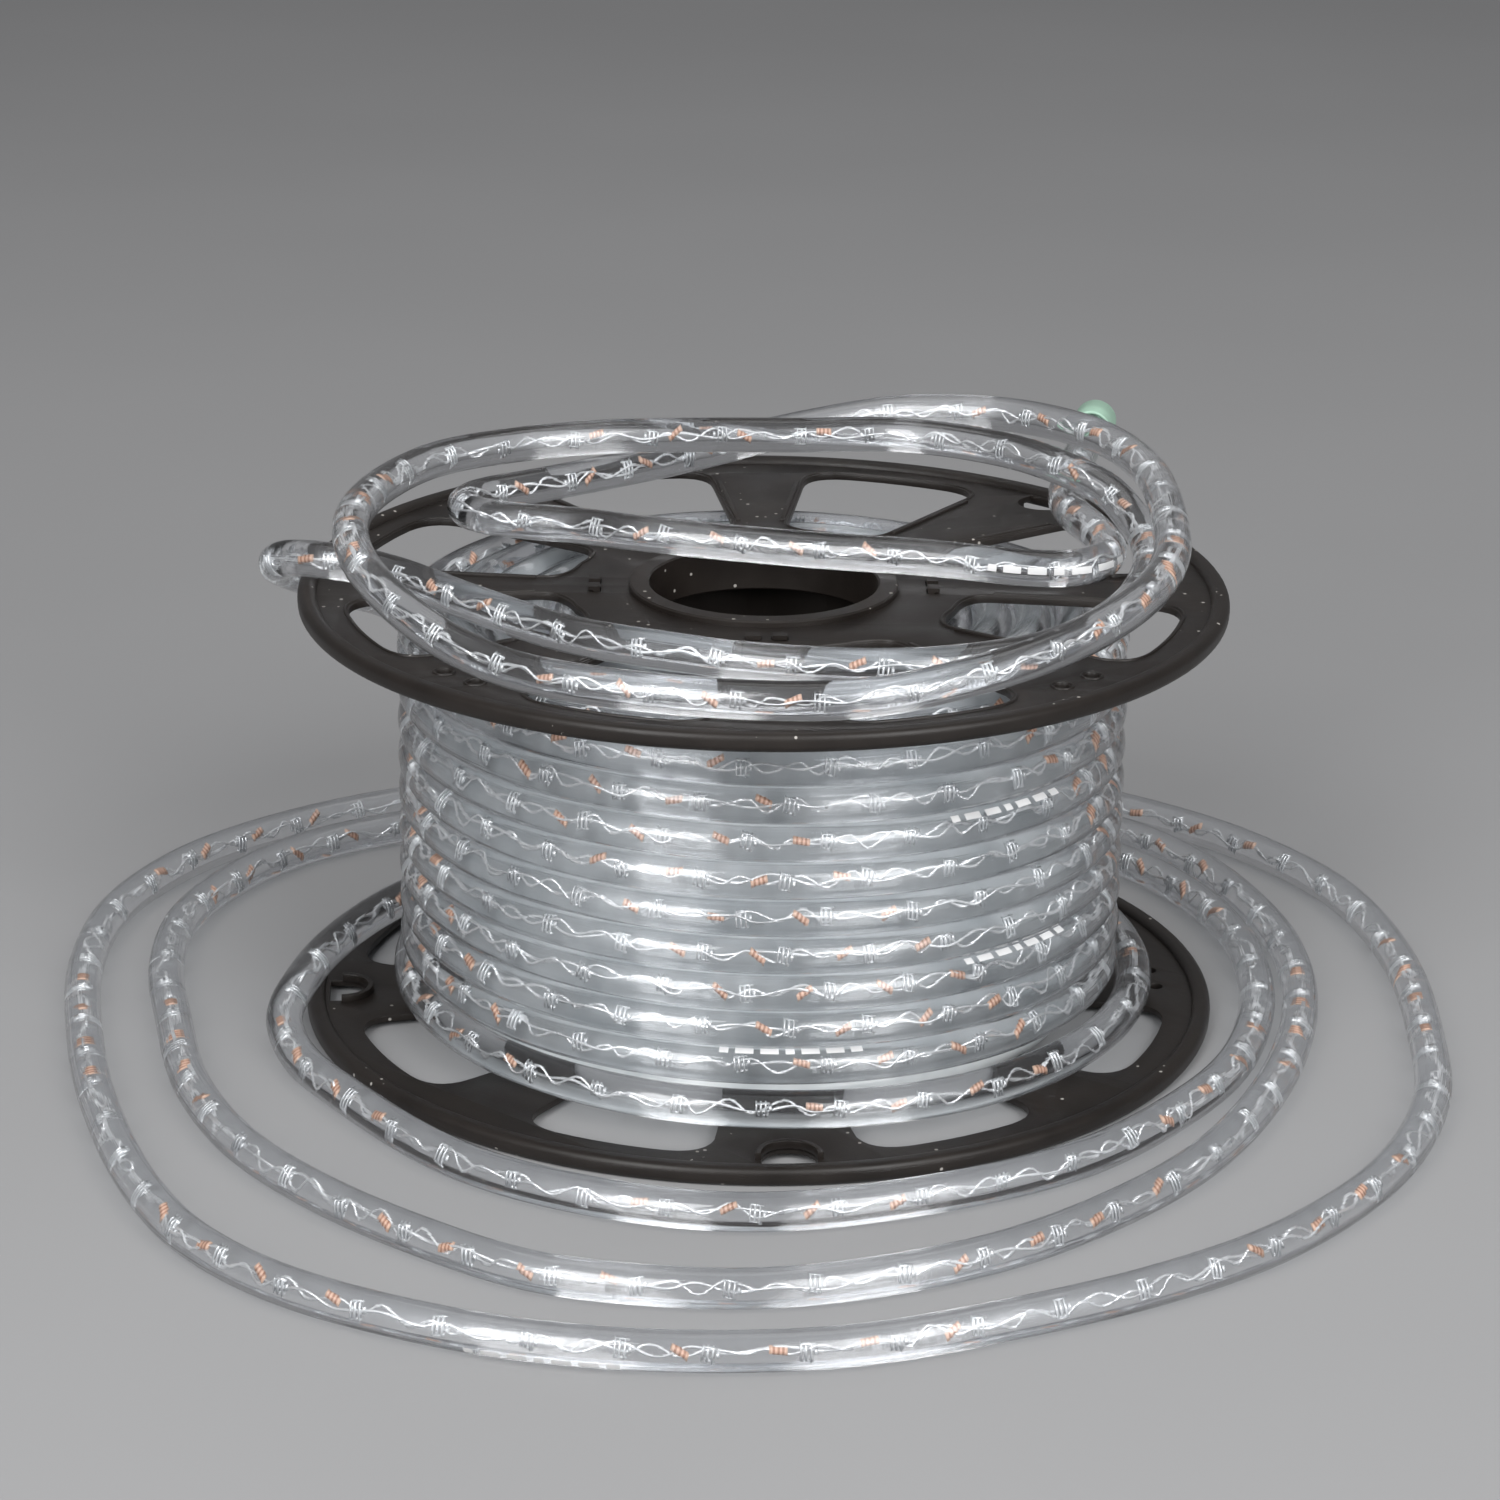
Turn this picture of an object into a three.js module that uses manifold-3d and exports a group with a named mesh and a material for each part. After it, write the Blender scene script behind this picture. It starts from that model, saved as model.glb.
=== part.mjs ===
// A reel of LED rope light: a moulded spool wound with clear rope, and the rope's loose turns round it.
// Millimetres, +Z up. The origin is the centre of the spool's foot, on the surface that it stands on.
import * as THREE from "three";
import { mergeVertices } from "three/addons/utils/BufferGeometryUtils.js";
import Module from "manifold-3d";

const wasm = await Module();
wasm.setup();

// Clearance between pieces that touch
const SEAT_GAP = 0.3;

// Flange: a thin panel with a rounded lip, spokes, windows and a hub ring
const FLANGE_RADIUS = 162;
const LIP_WIDTH = 6.6;
const LIP_HEIGHT = 6.8;
const LIP_ROUNDING = 2.6;
const PANEL_RECESS = 2.2;
const PANEL_THICKNESS = 2.4;
const BORE_RADIUS = 40;
const HUB_RING_WIDTH = 7;
const COLLAR_WALL = 3;
const COLLAR_LENGTH = 16;

// Windows between four plain spokes and four wide spokes
const SPOKE_PAIRS = 4;
const WINDOW_INNER_RADIUS = 70;
const WINDOW_OUTER_RADIUS = 146;
const WINDOW_INNER_CORNER = 10;
const WINDOW_OUTER_CORNER = 15;
const PLAIN_SPOKE_SPREAD_DEG = 15;
const WIDE_SPOKE_SPREAD_DEG = 20;

// Ribs along the edges of the spokes, on the flange's outer face
const RIB_WIDTH = 2;
const RIB_HEIGHT = 0.9;
const RIB_EDGE_DISTANCE = 1.4;

// Half-round holes in two of the wide spokes, and pairs of small holes in the others
const ARCH_RADIUS = 9.3;
const ARCH_DISTANCE = 149.5;
const ARCH_LEGS = 4.2;
const ARCH_GUARD_WALL = 2;
const ARCH_GUARD_HEIGHT = 2.5;
const PIN_HOLE_RADIUS = 2.6;
const PIN_HOLE_DISTANCE = 143;
const PIN_HOLE_SPACING = 15;

// Barrel between the flanges, with pairs of snap lugs that pass through slots in the panels
const SPOOL_HEIGHT = 157;
const BARREL_RADIUS = 60;
const BARREL_WALL = 3.5;
const LOCATING_RING_WALL = 2;
const LOCATING_RING_HEIGHT = 5;
const LUG_WIDTH = 5;
const LUG_THICKNESS = 2.4;
const LUG_SPACING = 9;
const LUG_HEAD_HEIGHT = 1.4;
const LUG_HOOK = 1.6;

// Rope, and its turns on the barrel
const ROPE_DIAMETER = 13;
const TURN_PITCH = 13.2;
const LAYERS = 5;
const LAYER_PITCH = 13.7;
const WINDING_END_GAP = 0.6;

// End cap on the rope's free end
const CAP_WALL = 1.2;
const CAP_LENGTH = 17;
const CAP_ROUNDING = 2.4;
const CAP_GRIP = 11;

// How each flange is turned about the spool's axis
const BOTTOM_TURN_DEG = 139;
const TOP_TURN_DEG = 181;

// Fineness of the round pieces
const ROUND_SEGMENTS = 60;
const WINDING_SEGMENTS = 40;
const ROPE_SIDES = 8;

// Values that follow from these
const ROPE_RADIUS = ROPE_DIAMETER / 2;
const PANEL_INNER_FACE = PANEL_RECESS + PANEL_THICKNESS;
const PANEL_RIM_RADIUS = FLANGE_RADIUS - LIP_WIDTH / 2;
const HUB_RING_RADIUS = BORE_RADIUS + HUB_RING_WIDTH;
const BARREL_LENGTH = SPOOL_HEIGHT - 2 * (PANEL_INNER_FACE + SEAT_GAP);
const WINDING_SPACE = SPOOL_HEIGHT - 2 * (PANEL_INNER_FACE + WINDING_END_GAP);
const ROWS = Math.floor(WINDING_SPACE / TURN_PITCH);
const HALF_STEP = Math.PI / SPOKE_PAIRS;
const PLAIN_HALF_SPREAD = THREE.MathUtils.degToRad(PLAIN_SPOKE_SPREAD_DEG / 2);
const WIDE_HALF_SPREAD = THREE.MathUtils.degToRad(WIDE_SPOKE_SPREAD_DEG / 2);
const SIDE_START = WINDOW_INNER_RADIUS + WINDOW_INNER_CORNER;
const SIDE_END = WINDOW_OUTER_RADIUS - WINDOW_OUTER_CORNER;

// The rope on the floor, from the winding's last turn over the bottom lip and three times round the flange
const FLOOR_ROUTE = [
  [-74, 117, 13], [-98, 98, 13.6], [-118, 76, 14], [-137, 48, 14.5], [-152, 15, 14.5], [-161, -18, 14],
  [-166, -45, 9.8], [-159, -73, 7], [-141, -104, 6.8], [-97, -158, 6.8], [-52, -184, 6.8], [-2, -194, 6.8],
  [54, -180, 6.8], [106, -151, 6.8], [143, -109, 6.8], [164, -72, 6.8], [177, -23, 6.8], [179, 19, 6.8],
  [175, 53, 6.8], [163, 88, 6.8], [143, 120, 6.8], [110, 148, 6.8], [60, 168, 6.8], [0, 176, 6.8],
  [-60, 174, 6.8], [-110, 162, 6.8], [-146, 147, 6.8], [-175, 126, 6.8], [-198, 94, 6.8], [-213, 51, 6.8],
  [-214, 5, 6.8], [-205, -45, 6.8], [-192, -99, 6.8], [-171, -145, 6.8], [-144, -180, 6.8],
  [-110, -211, 6.8], [-71, -237, 6.8], [-37, -246, 6.8], [-2, -248, 6.8], [34, -240, 6.8], [78, -219, 6.8],
  [119, -184, 6.8], [149, -146, 6.8], [177, -86, 6.8], [193, -18, 6.8], [193, 40, 6.8], [180, 92, 6.8],
  [164, 126, 6.8], [143, 152, 6.8], [110, 172, 6.8], [60, 190, 6.8], [0, 197, 6.8], [-60, 196, 6.8],
  [-110, 190, 6.8], [-150, 173, 6.8], [-188, 146, 6.8], [-218, 112, 6.8], [-239, 62, 6.8], [-243, 6, 6.8],
  [-234, -60, 6.8], [-221, -116, 6.8], [-199, -179, 6.8], [-178, -217, 6.8], [-150, -246, 6.8],
  [-113, -268, 6.8], [-69, -284, 6.8], [-20, -290, 6.8], [29, -285, 6.8], [76, -267, 6.8],
  [124, -242, 6.8], [167, -209, 6.8], [206, -158, 6.8], [228, -101, 6.8], [234, -45, 6.8], [234, 22, 6.8],
  [220, 90, 6.8], [190, 140, 6.8], [155, 173, 6.8], [120, 195, 6.8], [80, 212, 6.8], [45, 222, 6.8],
  [20, 225, 7.4], [0, 225, 9.6],
];

// The same rope, up behind the reel, over the top lip, twice round the flange and into a hairpin
const TOP_ROUTE = [
  [-0.4, 225, 9.644], [-20, 225, 11.8], [-55, 217, 22], [-90, 198, 44], [-119, 168, 78],
  [-141, 125, 107], [-155, 85, 125],
  [-164, 58, 137], [-169, 38, 146], [-171.5, 22, 153], [-170.5, 9, 159], [-165, 0, 163], [-156, -6, 164.6],
  [-142, -10, 164.1], [-126, -18, 162.7], [-96, -50, 162.4], [-64, -80, 162.4], [-34, -95, 162.4],
  [-4, -106, 162.4], [35, -111, 162.4], [64, -106, 162.4], [94, -89, 162.4], [119, -52, 162.4],
  [133, -8, 162.4], [136, 24, 163], [133, 46, 166], [123, 64, 173], [106, 81, 176.8], [84, 104, 177],
  [51, 121, 176.5], [13, 121, 176], [-17, 120, 176], [-61, 115, 176], [-92, 103, 176], [-118, 82, 176.5],
  [-135, 46, 177.5], [-143, 0, 178], [-138, -41, 176.5], [-127, -66, 172], [-111, -90, 167.2],
  [-93, -108, 163.6], [-72, -124, 162.5], [-20, -142, 162.3], [28, -145, 163.2], [62, -132, 165.5],
  [95, -111, 169.5], [121, -80, 173.5], [137, -39, 176], [142, 24, 176.8], [138, 77, 178],
  [123, 114, 179.2], [92, 144, 178.5], [53, 154, 176.5], [24, 157, 171], [-2, 155, 165.5],
  [-20, 146, 162.8], [-39, 131, 162.3], [-67, 109, 162.3], [-88, 93.5, 162.3], [-101, 84.5, 162.3],
  [-107.2, 77, 162.3], [-108.8, 68.5, 162.3], [-105.5, 60.5, 162.3], [-98, 55, 162.3],
  [-84, 50, 162.3], [-66, 44, 162.8], [-48, 33, 164], [13, 15, 164], [58, 6, 164], [90, 0.5, 162.6],
  [104, 0.5, 162.3], [114, 5, 162.3], [120, 14, 162.3], [122, 27, 162.3], [118.5, 46, 162.3],
  [112, 70, 162.3], [110.5, 88, 162.6], [113, 105, 163.8], [116, 122, 164.6], [121, 146, 165],
  [125, 168, 165.2], [127.5, 181, 165.4],
];

function material(color, roughness, extra = {}) {
  return new THREE.MeshStandardMaterial({ color, roughness, metalness: 0, ...extra });
}

const spoolPlastic = material(0x3a3431, 0.5);
const ropePlastic = material(0xc4cad2, 0.12, { transparent: true, opacity: 0.5 });
const capPlastic = material(0xb9dcc6, 0.45);

function solid(geometry) {
  const plain = geometry.index ? geometry.toNonIndexed() : geometry.clone();
  plain.deleteAttribute("normal");
  plain.deleteAttribute("uv");
  const merged = mergeVertices(plain, 1e-4);
  return new wasm.Manifold(
    new wasm.Mesh({
      numProp: 3,
      vertProperties: merged.attributes.position.array,
      triVerts: new Uint32Array(merged.index.array),
    }),
  );
}

function geometryOf(manifold) {
  const mesh = manifold.getMesh();
  const geometry = new THREE.BufferGeometry();
  geometry.setAttribute("position", new THREE.BufferAttribute(mesh.vertProperties, 3));
  geometry.setIndex(new THREE.BufferAttribute(mesh.triVerts, 1));
  return geometry;
}

function piece(name, geometry, look) {
  const mesh = new THREE.Mesh(geometry, look);
  mesh.name = name;
  return mesh;
}

function polar(radius, angle) {
  return new THREE.Vector2(radius * Math.cos(angle), radius * Math.sin(angle));
}

function circle(radius, segments = ROUND_SEGMENTS) {
  return Array.from({ length: segments }, (_, i) => polar(radius, (2 * Math.PI * i) / segments));
}

// A solid of revolution about Z from a closed outline of [radius, height], listed anticlockwise
function revolved(outline, segments = ROUND_SEGMENTS) {
  const points = [...outline, outline[0]].map(([r, z]) => new THREE.Vector2(r, z));
  return new THREE.LatheGeometry(points, segments).rotateX(Math.PI / 2);
}

// The corner at [r, z] of an outline, rounded by an arc from one angle to another
function roundedCorner(r, z, radius, from, to, steps = 3) {
  return Array.from({ length: steps + 1 }, (_, i) => {
    const angle = from + ((to - from) * i) / steps;
    return [r + radius * Math.cos(angle), z + radius * Math.sin(angle)];
  });
}

function lip() {
  const inner = FLANGE_RADIUS - LIP_WIDTH + LIP_ROUNDING;
  const outer = FLANGE_RADIUS - LIP_ROUNDING;
  const low = LIP_ROUNDING;
  const high = LIP_HEIGHT - LIP_ROUNDING;
  const quarter = Math.PI / 2;
  return solid(
    revolved([
      ...roundedCorner(inner, low, LIP_ROUNDING, 2 * quarter, 3 * quarter),
      ...roundedCorner(outer, low, LIP_ROUNDING, 3 * quarter, 4 * quarter),
      ...roundedCorner(outer, high, LIP_ROUNDING, 0, quarter),
      ...roundedCorner(inner, high, LIP_ROUNDING, quarter, 2 * quarter),
    ]),
  );
}

function hub() {
  const ring = revolved([
    [BORE_RADIUS, 0],
    [HUB_RING_RADIUS, 0],
    [HUB_RING_RADIUS, PANEL_INNER_FACE],
    [BORE_RADIUS + COLLAR_WALL, PANEL_INNER_FACE],
    [BORE_RADIUS + COLLAR_WALL, COLLAR_LENGTH],
    [BORE_RADIUS, COLLAR_LENGTH],
  ]);
  const bore = BARREL_RADIUS - BARREL_WALL - SEAT_GAP;
  const locatingRing = revolved([
    [bore - LOCATING_RING_WALL, PANEL_RECESS + PANEL_THICKNESS / 2],
    [bore, PANEL_RECESS + PANEL_THICKNESS / 2],
    [bore, PANEL_INNER_FACE + LOCATING_RING_HEIGHT],
    [bore - LOCATING_RING_WALL, PANEL_INNER_FACE + LOCATING_RING_HEIGHT],
  ]);
  return solid(ring).add(solid(locatingRing));
}

// A window beside a plain spoke: side is 1 or -1, the way from that spoke to its wide neighbour
function windowOutline(spokeAngle, side) {
  const near = spokeAngle + side * PLAIN_HALF_SPREAD;
  const far = spokeAngle + side * (HALF_STEP - WIDE_HALF_SPREAD);
  const low = WINDOW_INNER_RADIUS;
  const high = WINDOW_OUTER_RADIUS;
  const turn = (side * WINDOW_OUTER_CORNER) / high;
  const outline = new THREE.Path();
  const bend = (corner, end) => outline.quadraticCurveTo(corner.x, corner.y, end.x, end.y);
  outline.moveTo(...polar(SIDE_START, near));
  outline.lineTo(...polar(SIDE_END, near));
  bend(polar(high, near), polar(high, near + turn));
  outline.absarc(0, 0, high, near + turn, far - turn, side < 0);
  bend(polar(high, far), polar(SIDE_END, far));
  outline.lineTo(...polar(SIDE_START, far));
  bend(polar(low, far), polar(low, (near + far) / 2));
  bend(polar(low, near), polar(SIDE_START, near));
  return outline;
}

// A half-round hole, its round end towards the hub and its legs towards the lip
function archOutline(spokeAngle) {
  const outline = new THREE.Path();
  const foot = polar(ARCH_DISTANCE, spokeAngle);
  const legs = polar(ARCH_LEGS, spokeAngle);
  const across = polar(ARCH_RADIUS, spokeAngle + Math.PI / 2);
  outline.absarc(foot.x, foot.y, ARCH_RADIUS, spokeAngle + Math.PI / 2, spokeAngle + 1.5 * Math.PI);
  outline.lineTo(...foot.clone().sub(across).add(legs));
  outline.lineTo(...foot.clone().add(across).add(legs));
  outline.closePath();
  return outline;
}

// Two places side by side at a distance from the axis, across a spoke
function pairAcross(distance, spokeAngle, spacing) {
  const across = polar(spacing / 2, spokeAngle + Math.PI / 2);
  const middle = polar(distance, spokeAngle);
  return [middle.clone().add(across), middle.clone().sub(across)];
}

function pinHoleOutline(centre) {
  const outline = new THREE.Path();
  outline.absarc(centre.x, centre.y, PIN_HOLE_RADIUS, 0, 2 * Math.PI);
  return outline;
}

// The slot that a lug passes through, in the line of the barrel's wall
function slotOutline(centre, spokeAngle) {
  const along = polar(LUG_THICKNESS / 2 + SEAT_GAP, spokeAngle);
  const across = polar(LUG_WIDTH / 2 + SEAT_GAP, spokeAngle + Math.PI / 2);
  const corner = (a, b) => centre.clone().addScaledVector(along, a).addScaledVector(across, b);
  return new THREE.Path([corner(-1, -1), corner(1, -1), corner(1, 1), corner(-1, 1)]);
}

const LUG_DISTANCE = BARREL_RADIUS - BARREL_WALL / 2;
const plainSpokes = Array.from({ length: SPOKE_PAIRS }, (_, i) => 2 * HALF_STEP * i);
const wideSpokes = plainSpokes.map((angle) => angle + HALF_STEP);
const archedSpokes = wideSpokes.filter((_, i) => i < SPOKE_PAIRS / 2);
const pinnedSpokes = wideSpokes.filter((_, i) => i >= SPOKE_PAIRS / 2);

// A cutter of an outline's shape, straight through the panel
function cutter(outline) {
  const shape = new THREE.Shape(outline.getPoints(6));
  const geometry = new THREE.ExtrudeGeometry(shape, { depth: 3 * PANEL_THICKNESS, bevelEnabled: false });
  return solid(geometry.translate(0, 0, PANEL_RECESS - PANEL_THICKNESS));
}

function panel() {
  const outlines = archedSpokes.map(archOutline);
  for (const angle of plainSpokes) {
    outlines.push(windowOutline(angle, 1), windowOutline(angle, -1));
    for (const centre of pairAcross(LUG_DISTANCE, angle, LUG_SPACING)) {
      outlines.push(slotOutline(centre, angle));
    }
  }
  for (const angle of pinnedSpokes) {
    outlines.push(...pairAcross(PIN_HOLE_DISTANCE, angle, PIN_HOLE_SPACING).map(pinHoleOutline));
  }
  const inner = BORE_RADIUS + COLLAR_WALL / 2;
  const plate = revolved([
    [inner, PANEL_RECESS],
    [PANEL_RIM_RADIUS, PANEL_RECESS],
    [PANEL_RIM_RADIUS, PANEL_INNER_FACE],
    [inner, PANEL_INNER_FACE],
  ]);
  return outlines.reduce((rest, outline) => rest.subtract(cutter(outline)), solid(plate));
}

// Two ribs along the edges of one spoke, standing out of the panel's outer face
function ribs(spokeAngle, halfSpread) {
  const length = SIDE_END - SIDE_START;
  const height = RIB_HEIGHT + PANEL_THICKNESS / 2;
  const inset = RIB_EDGE_DISTANCE + RIB_WIDTH / 2;
  return [1, -1].map((side) => {
    const rib = new THREE.BoxGeometry(length, RIB_WIDTH, height);
    rib.translate(SIDE_START + length / 2, -side * inset, PANEL_RECESS - RIB_HEIGHT + height / 2);
    return solid(rib.rotateZ(spokeAngle + side * halfSpread));
  });
}

// A low curved wall round a half-round hole, on the panel's inner face
function archGuard(spokeAngle) {
  const wall = new THREE.Shape();
  const foot = polar(ARCH_DISTANCE, spokeAngle);
  const from = spokeAngle + Math.PI / 2;
  const to = spokeAngle + 1.5 * Math.PI;
  wall.absarc(foot.x, foot.y, ARCH_RADIUS + ARCH_GUARD_WALL, from, to);
  wall.absarc(foot.x, foot.y, ARCH_RADIUS, to, from, true);
  wall.closePath();
  const guard = new THREE.ExtrudeGeometry(wall, {
    depth: PANEL_THICKNESS / 2 + ARCH_GUARD_HEIGHT,
    bevelEnabled: false,
    curveSegments: 6,
  });
  return solid(guard.translate(0, 0, PANEL_RECESS + PANEL_THICKNESS / 2));
}

// A flange with its outer face down and its lip standing on z = 0
function flangeGeometry() {
  const details = [
    ...plainSpokes.flatMap((angle) => ribs(angle, PLAIN_HALF_SPREAD)),
    ...wideSpokes.flatMap((angle) => ribs(angle, WIDE_HALF_SPREAD)),
    ...archedSpokes.map(archGuard),
  ];
  const body = [lip(), hub(), ...details].reduce((whole, next) => whole.add(next), panel());
  return geometryOf(body);
}

// A snap lug at the barrel's upper end: a stem through the panel's slot and a hook over its outer face
function lug(centre, spokeAngle) {
  const root = BARREL_LENGTH / 2 - BARREL_WALL;
  const panelFace = BARREL_LENGTH / 2 + SEAT_GAP + PANEL_THICKNESS;
  const top = panelFace + SEAT_GAP + LUG_HEAD_HEIGHT;
  const stem = new THREE.BoxGeometry(LUG_THICKNESS, LUG_WIDTH, top - root);
  stem.translate(0, 0, (top + root) / 2);
  const hook = new THREE.BoxGeometry(LUG_THICKNESS + LUG_HOOK, LUG_WIDTH, LUG_HEAD_HEIGHT);
  hook.translate(LUG_HOOK / 2, 0, top - LUG_HEAD_HEIGHT / 2);
  const place = (geometry) => geometry.rotateZ(spokeAngle).translate(centre.x, centre.y, 0);
  return solid(place(stem)).add(solid(place(hook)));
}

// The barrel about its own middle. turns holds how far its lower and upper lugs are turned from the spokes.
function barrelGeometry(turns) {
  const half = BARREL_LENGTH / 2;
  const inner = BARREL_RADIUS - BARREL_WALL;
  const wall = [[inner, -half], [BARREL_RADIUS, -half], [BARREL_RADIUS, half], [inner, half]];
  let body = solid(revolved(wall));
  turns.forEach((turn, end) => {
    for (const angle of plainSpokes) {
      const turned = angle + turn;
      for (const centre of pairAcross(LUG_DISTANCE, turned, LUG_SPACING)) {
        const upper = lug(centre, turned);
        body = body.add(end ? upper : upper.mirror([0, 0, 1]));
      }
    }
  });
  return geometryOf(body);
}

// Layers of turns as one solid, with a ridge for each turn of its outer layer and of its top row
function turnsGeometry(firstLayer, endLayer) {
  const inner = BARREL_RADIUS + LAYER_PITCH * firstLayer + SEAT_GAP;
  const reach = BARREL_RADIUS + LAYER_PITCH * endLayer;
  const low = PANEL_INNER_FACE + WINDING_END_GAP;
  const top = low + TURN_PITCH * ROWS;
  const outline = [[inner, low]];
  for (let row = 0; row < ROWS; row += 1) {
    const z = low + TURN_PITCH * (row + 0.5);
    for (const slope of [-0.9, -0.3, 0.3, 0.9]) {
      const angle = (slope * Math.PI) / 2;
      outline.push([reach - ROPE_RADIUS * (1 - Math.cos(angle)), z + ROPE_RADIUS * Math.sin(angle)]);
    }
  }
  for (let layer = endLayer - 1; layer >= firstLayer; layer -= 1) {
    const r = BARREL_RADIUS + LAYER_PITCH * (layer + 0.5);
    for (const slope of [0.7, 0.3, -0.3, -0.7]) {
      const angle = (slope * Math.PI) / 2;
      outline.push([r + ROPE_RADIUS * Math.sin(angle), top - ROPE_RADIUS * (1 - Math.cos(angle))]);
    }
  }
  outline.push([inner, top - ROPE_RADIUS]);
  return revolved(outline, WINDING_SEGMENTS);
}

// A route whose steps follow its points, which lie closer where it bends more
class StepwiseRoute extends THREE.CatmullRomCurve3 {
  getUtoTmapping(u) {
    return u;
  }
}

function points(list) {
  return list.map((place) => new THREE.Vector3(...place));
}

function tube(list) {
  return new THREE.ExtrudeGeometry(new THREE.Shape(circle(ROPE_RADIUS, ROPE_SIDES)), {
    steps: list.length - 1,
    extrudePath: new StepwiseRoute(points(list)),
  });
}

// The last stretch of the route, straight, so that the cap sits square on it
function endDirection(list) {
  const [before, last] = points(list.slice(-2));
  return last.sub(before).normalize();
}

function capGeometry() {
  const bore = ROPE_RADIUS + SEAT_GAP;
  const outer = bore + CAP_WALL;
  const back = -CAP_GRIP;
  const front = CAP_LENGTH - CAP_GRIP;
  const outline = [
    [0, SEAT_GAP],
    [bore, SEAT_GAP],
    [bore, back],
    [outer, back],
    ...roundedCorner(outer - CAP_ROUNDING, front - CAP_ROUNDING, CAP_ROUNDING, 0, Math.PI / 2),
    [0, front],
  ];
  const profile = outline.map(([r, z]) => new THREE.Vector2(r, z));
  return new THREE.LatheGeometry(profile, 24).rotateX(Math.PI / 2);
}

function makeCap() {
  const cap = piece("end_cap", capGeometry(), capPlastic);
  cap.position.set(...TOP_ROUTE.at(-1));
  cap.quaternion.setFromUnitVectors(new THREE.Vector3(0, 0, 1), endDirection(TOP_ROUTE));
  return cap;
}

const group = new THREE.Group();

const bottomFlange = piece("bottom_flange", flangeGeometry(), spoolPlastic);
bottomFlange.rotation.z = THREE.MathUtils.degToRad(BOTTOM_TURN_DEG);
group.add(bottomFlange);

const topFlange = piece("top_flange", flangeGeometry(), spoolPlastic);
topFlange.rotation.set(Math.PI, 0, 0);
const topFlangeTurn = new THREE.Group();
topFlangeTurn.rotation.z = THREE.MathUtils.degToRad(TOP_TURN_DEG);
topFlangeTurn.position.z = SPOOL_HEIGHT;
topFlangeTurn.add(topFlange);
group.add(topFlangeTurn);

const lugTurns = [BOTTOM_TURN_DEG, TOP_TURN_DEG].map((turn) => THREE.MathUtils.degToRad(turn));
const barrel = piece("barrel", barrelGeometry(lugTurns), spoolPlastic);
barrel.position.z = SPOOL_HEIGHT / 2;
group.add(barrel);

group.add(piece("rope_inner_turns", turnsGeometry(0, LAYERS - 1), ropePlastic));
group.add(piece("rope_winding", turnsGeometry(LAYERS - 1, LAYERS), ropePlastic));

group.add(piece("rope_on_floor", tube(FLOOR_ROUTE), ropePlastic));
group.add(piece("rope_on_top", tube(TOP_ROUTE), ropePlastic));

group.add(makeCap());

export default group;
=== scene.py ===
"""A reel of clear LED rope light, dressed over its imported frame. Metres, +Z up."""

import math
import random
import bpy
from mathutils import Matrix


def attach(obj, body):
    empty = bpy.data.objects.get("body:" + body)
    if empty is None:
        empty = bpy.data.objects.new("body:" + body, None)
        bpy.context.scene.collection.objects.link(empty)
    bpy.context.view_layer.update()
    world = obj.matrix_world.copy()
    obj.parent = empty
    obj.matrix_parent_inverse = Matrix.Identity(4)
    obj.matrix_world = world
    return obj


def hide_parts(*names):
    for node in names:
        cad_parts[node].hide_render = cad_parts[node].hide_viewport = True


bl_info = {
    "name": "LED rope light reel",
    "version": (1, 0, 0),
    "blender": (4, 5, 0),
    "location": "View3D > Sidebar > Rope Reel",
    "description": "Builds a moulded reel wound with clear LED rope light",
    "category": "Object",
}

import bpy
import numpy as np
from mathutils import Matrix, Vector

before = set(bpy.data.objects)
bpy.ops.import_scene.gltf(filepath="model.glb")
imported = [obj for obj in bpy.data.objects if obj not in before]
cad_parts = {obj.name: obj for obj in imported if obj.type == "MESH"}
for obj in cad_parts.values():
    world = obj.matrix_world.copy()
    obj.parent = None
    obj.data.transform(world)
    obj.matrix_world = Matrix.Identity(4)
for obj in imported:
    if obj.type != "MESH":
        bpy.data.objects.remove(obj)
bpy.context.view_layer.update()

BODY = "root"

# The photograph's camera
LENS = 105.6
SENSOR = 36.0
CAMERA_PLACE = (-0.0041, -1.4658, 0.6160)
CAMERA_DOWN_DEG = 19.6
CAMERA_ROLL_DEG = 0.68

# The spool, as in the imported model
FLANGE_RADIUS = 0.162
LIP_WIDTH = 0.0066
LIP_HEIGHT = 0.0068
LIP_ROUNDING = 0.0026
PANEL_RECESS = 0.0022
PANEL_THICKNESS = 0.0024
PANEL_INNER_FACE = PANEL_RECESS + PANEL_THICKNESS
BORE_RADIUS = 0.040
HUB_RING_RADIUS = 0.047
COLLAR_WALL = 0.003
COLLAR_LENGTH = 0.016
LOCATING_RING_RADIUS = 0.0562
LOCATING_RING_WALL = 0.002
LOCATING_RING_TOP = 0.0096
WINDOW_INNER_RADIUS = 0.070
WINDOW_OUTER_RADIUS = 0.146
WINDOW_INNER_CORNER = 0.010
WINDOW_OUTER_CORNER = 0.015
PLAIN_HALF_SPREAD = math.radians(7.5)
WIDE_HALF_SPREAD = math.radians(10)
RIB_WIDTH = 0.002
RIB_HEIGHT = 0.0009
RIB_EDGE_DISTANCE = 0.0014
ARCH_RADIUS = 0.0093
ARCH_DISTANCE = 0.1495
ARCH_LEGS = 0.0042
ARCH_WALL = 0.002
ARCH_WALL_HEIGHT = 0.0025
PIN_HOLE_RADIUS = 0.0026
PIN_HOLE_DISTANCE = 0.143
PIN_HOLE_SPACING = 0.015
SLOT_DISTANCE = 0.05825
SLOT_SPACING = 0.009
SLOT_ALONG = 0.0015
SLOT_ACROSS = 0.0028
SPOOL_HEIGHT = 0.157
BOTTOM_TURN_DEG = 139
TOP_TURN_DEG = 181
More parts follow.
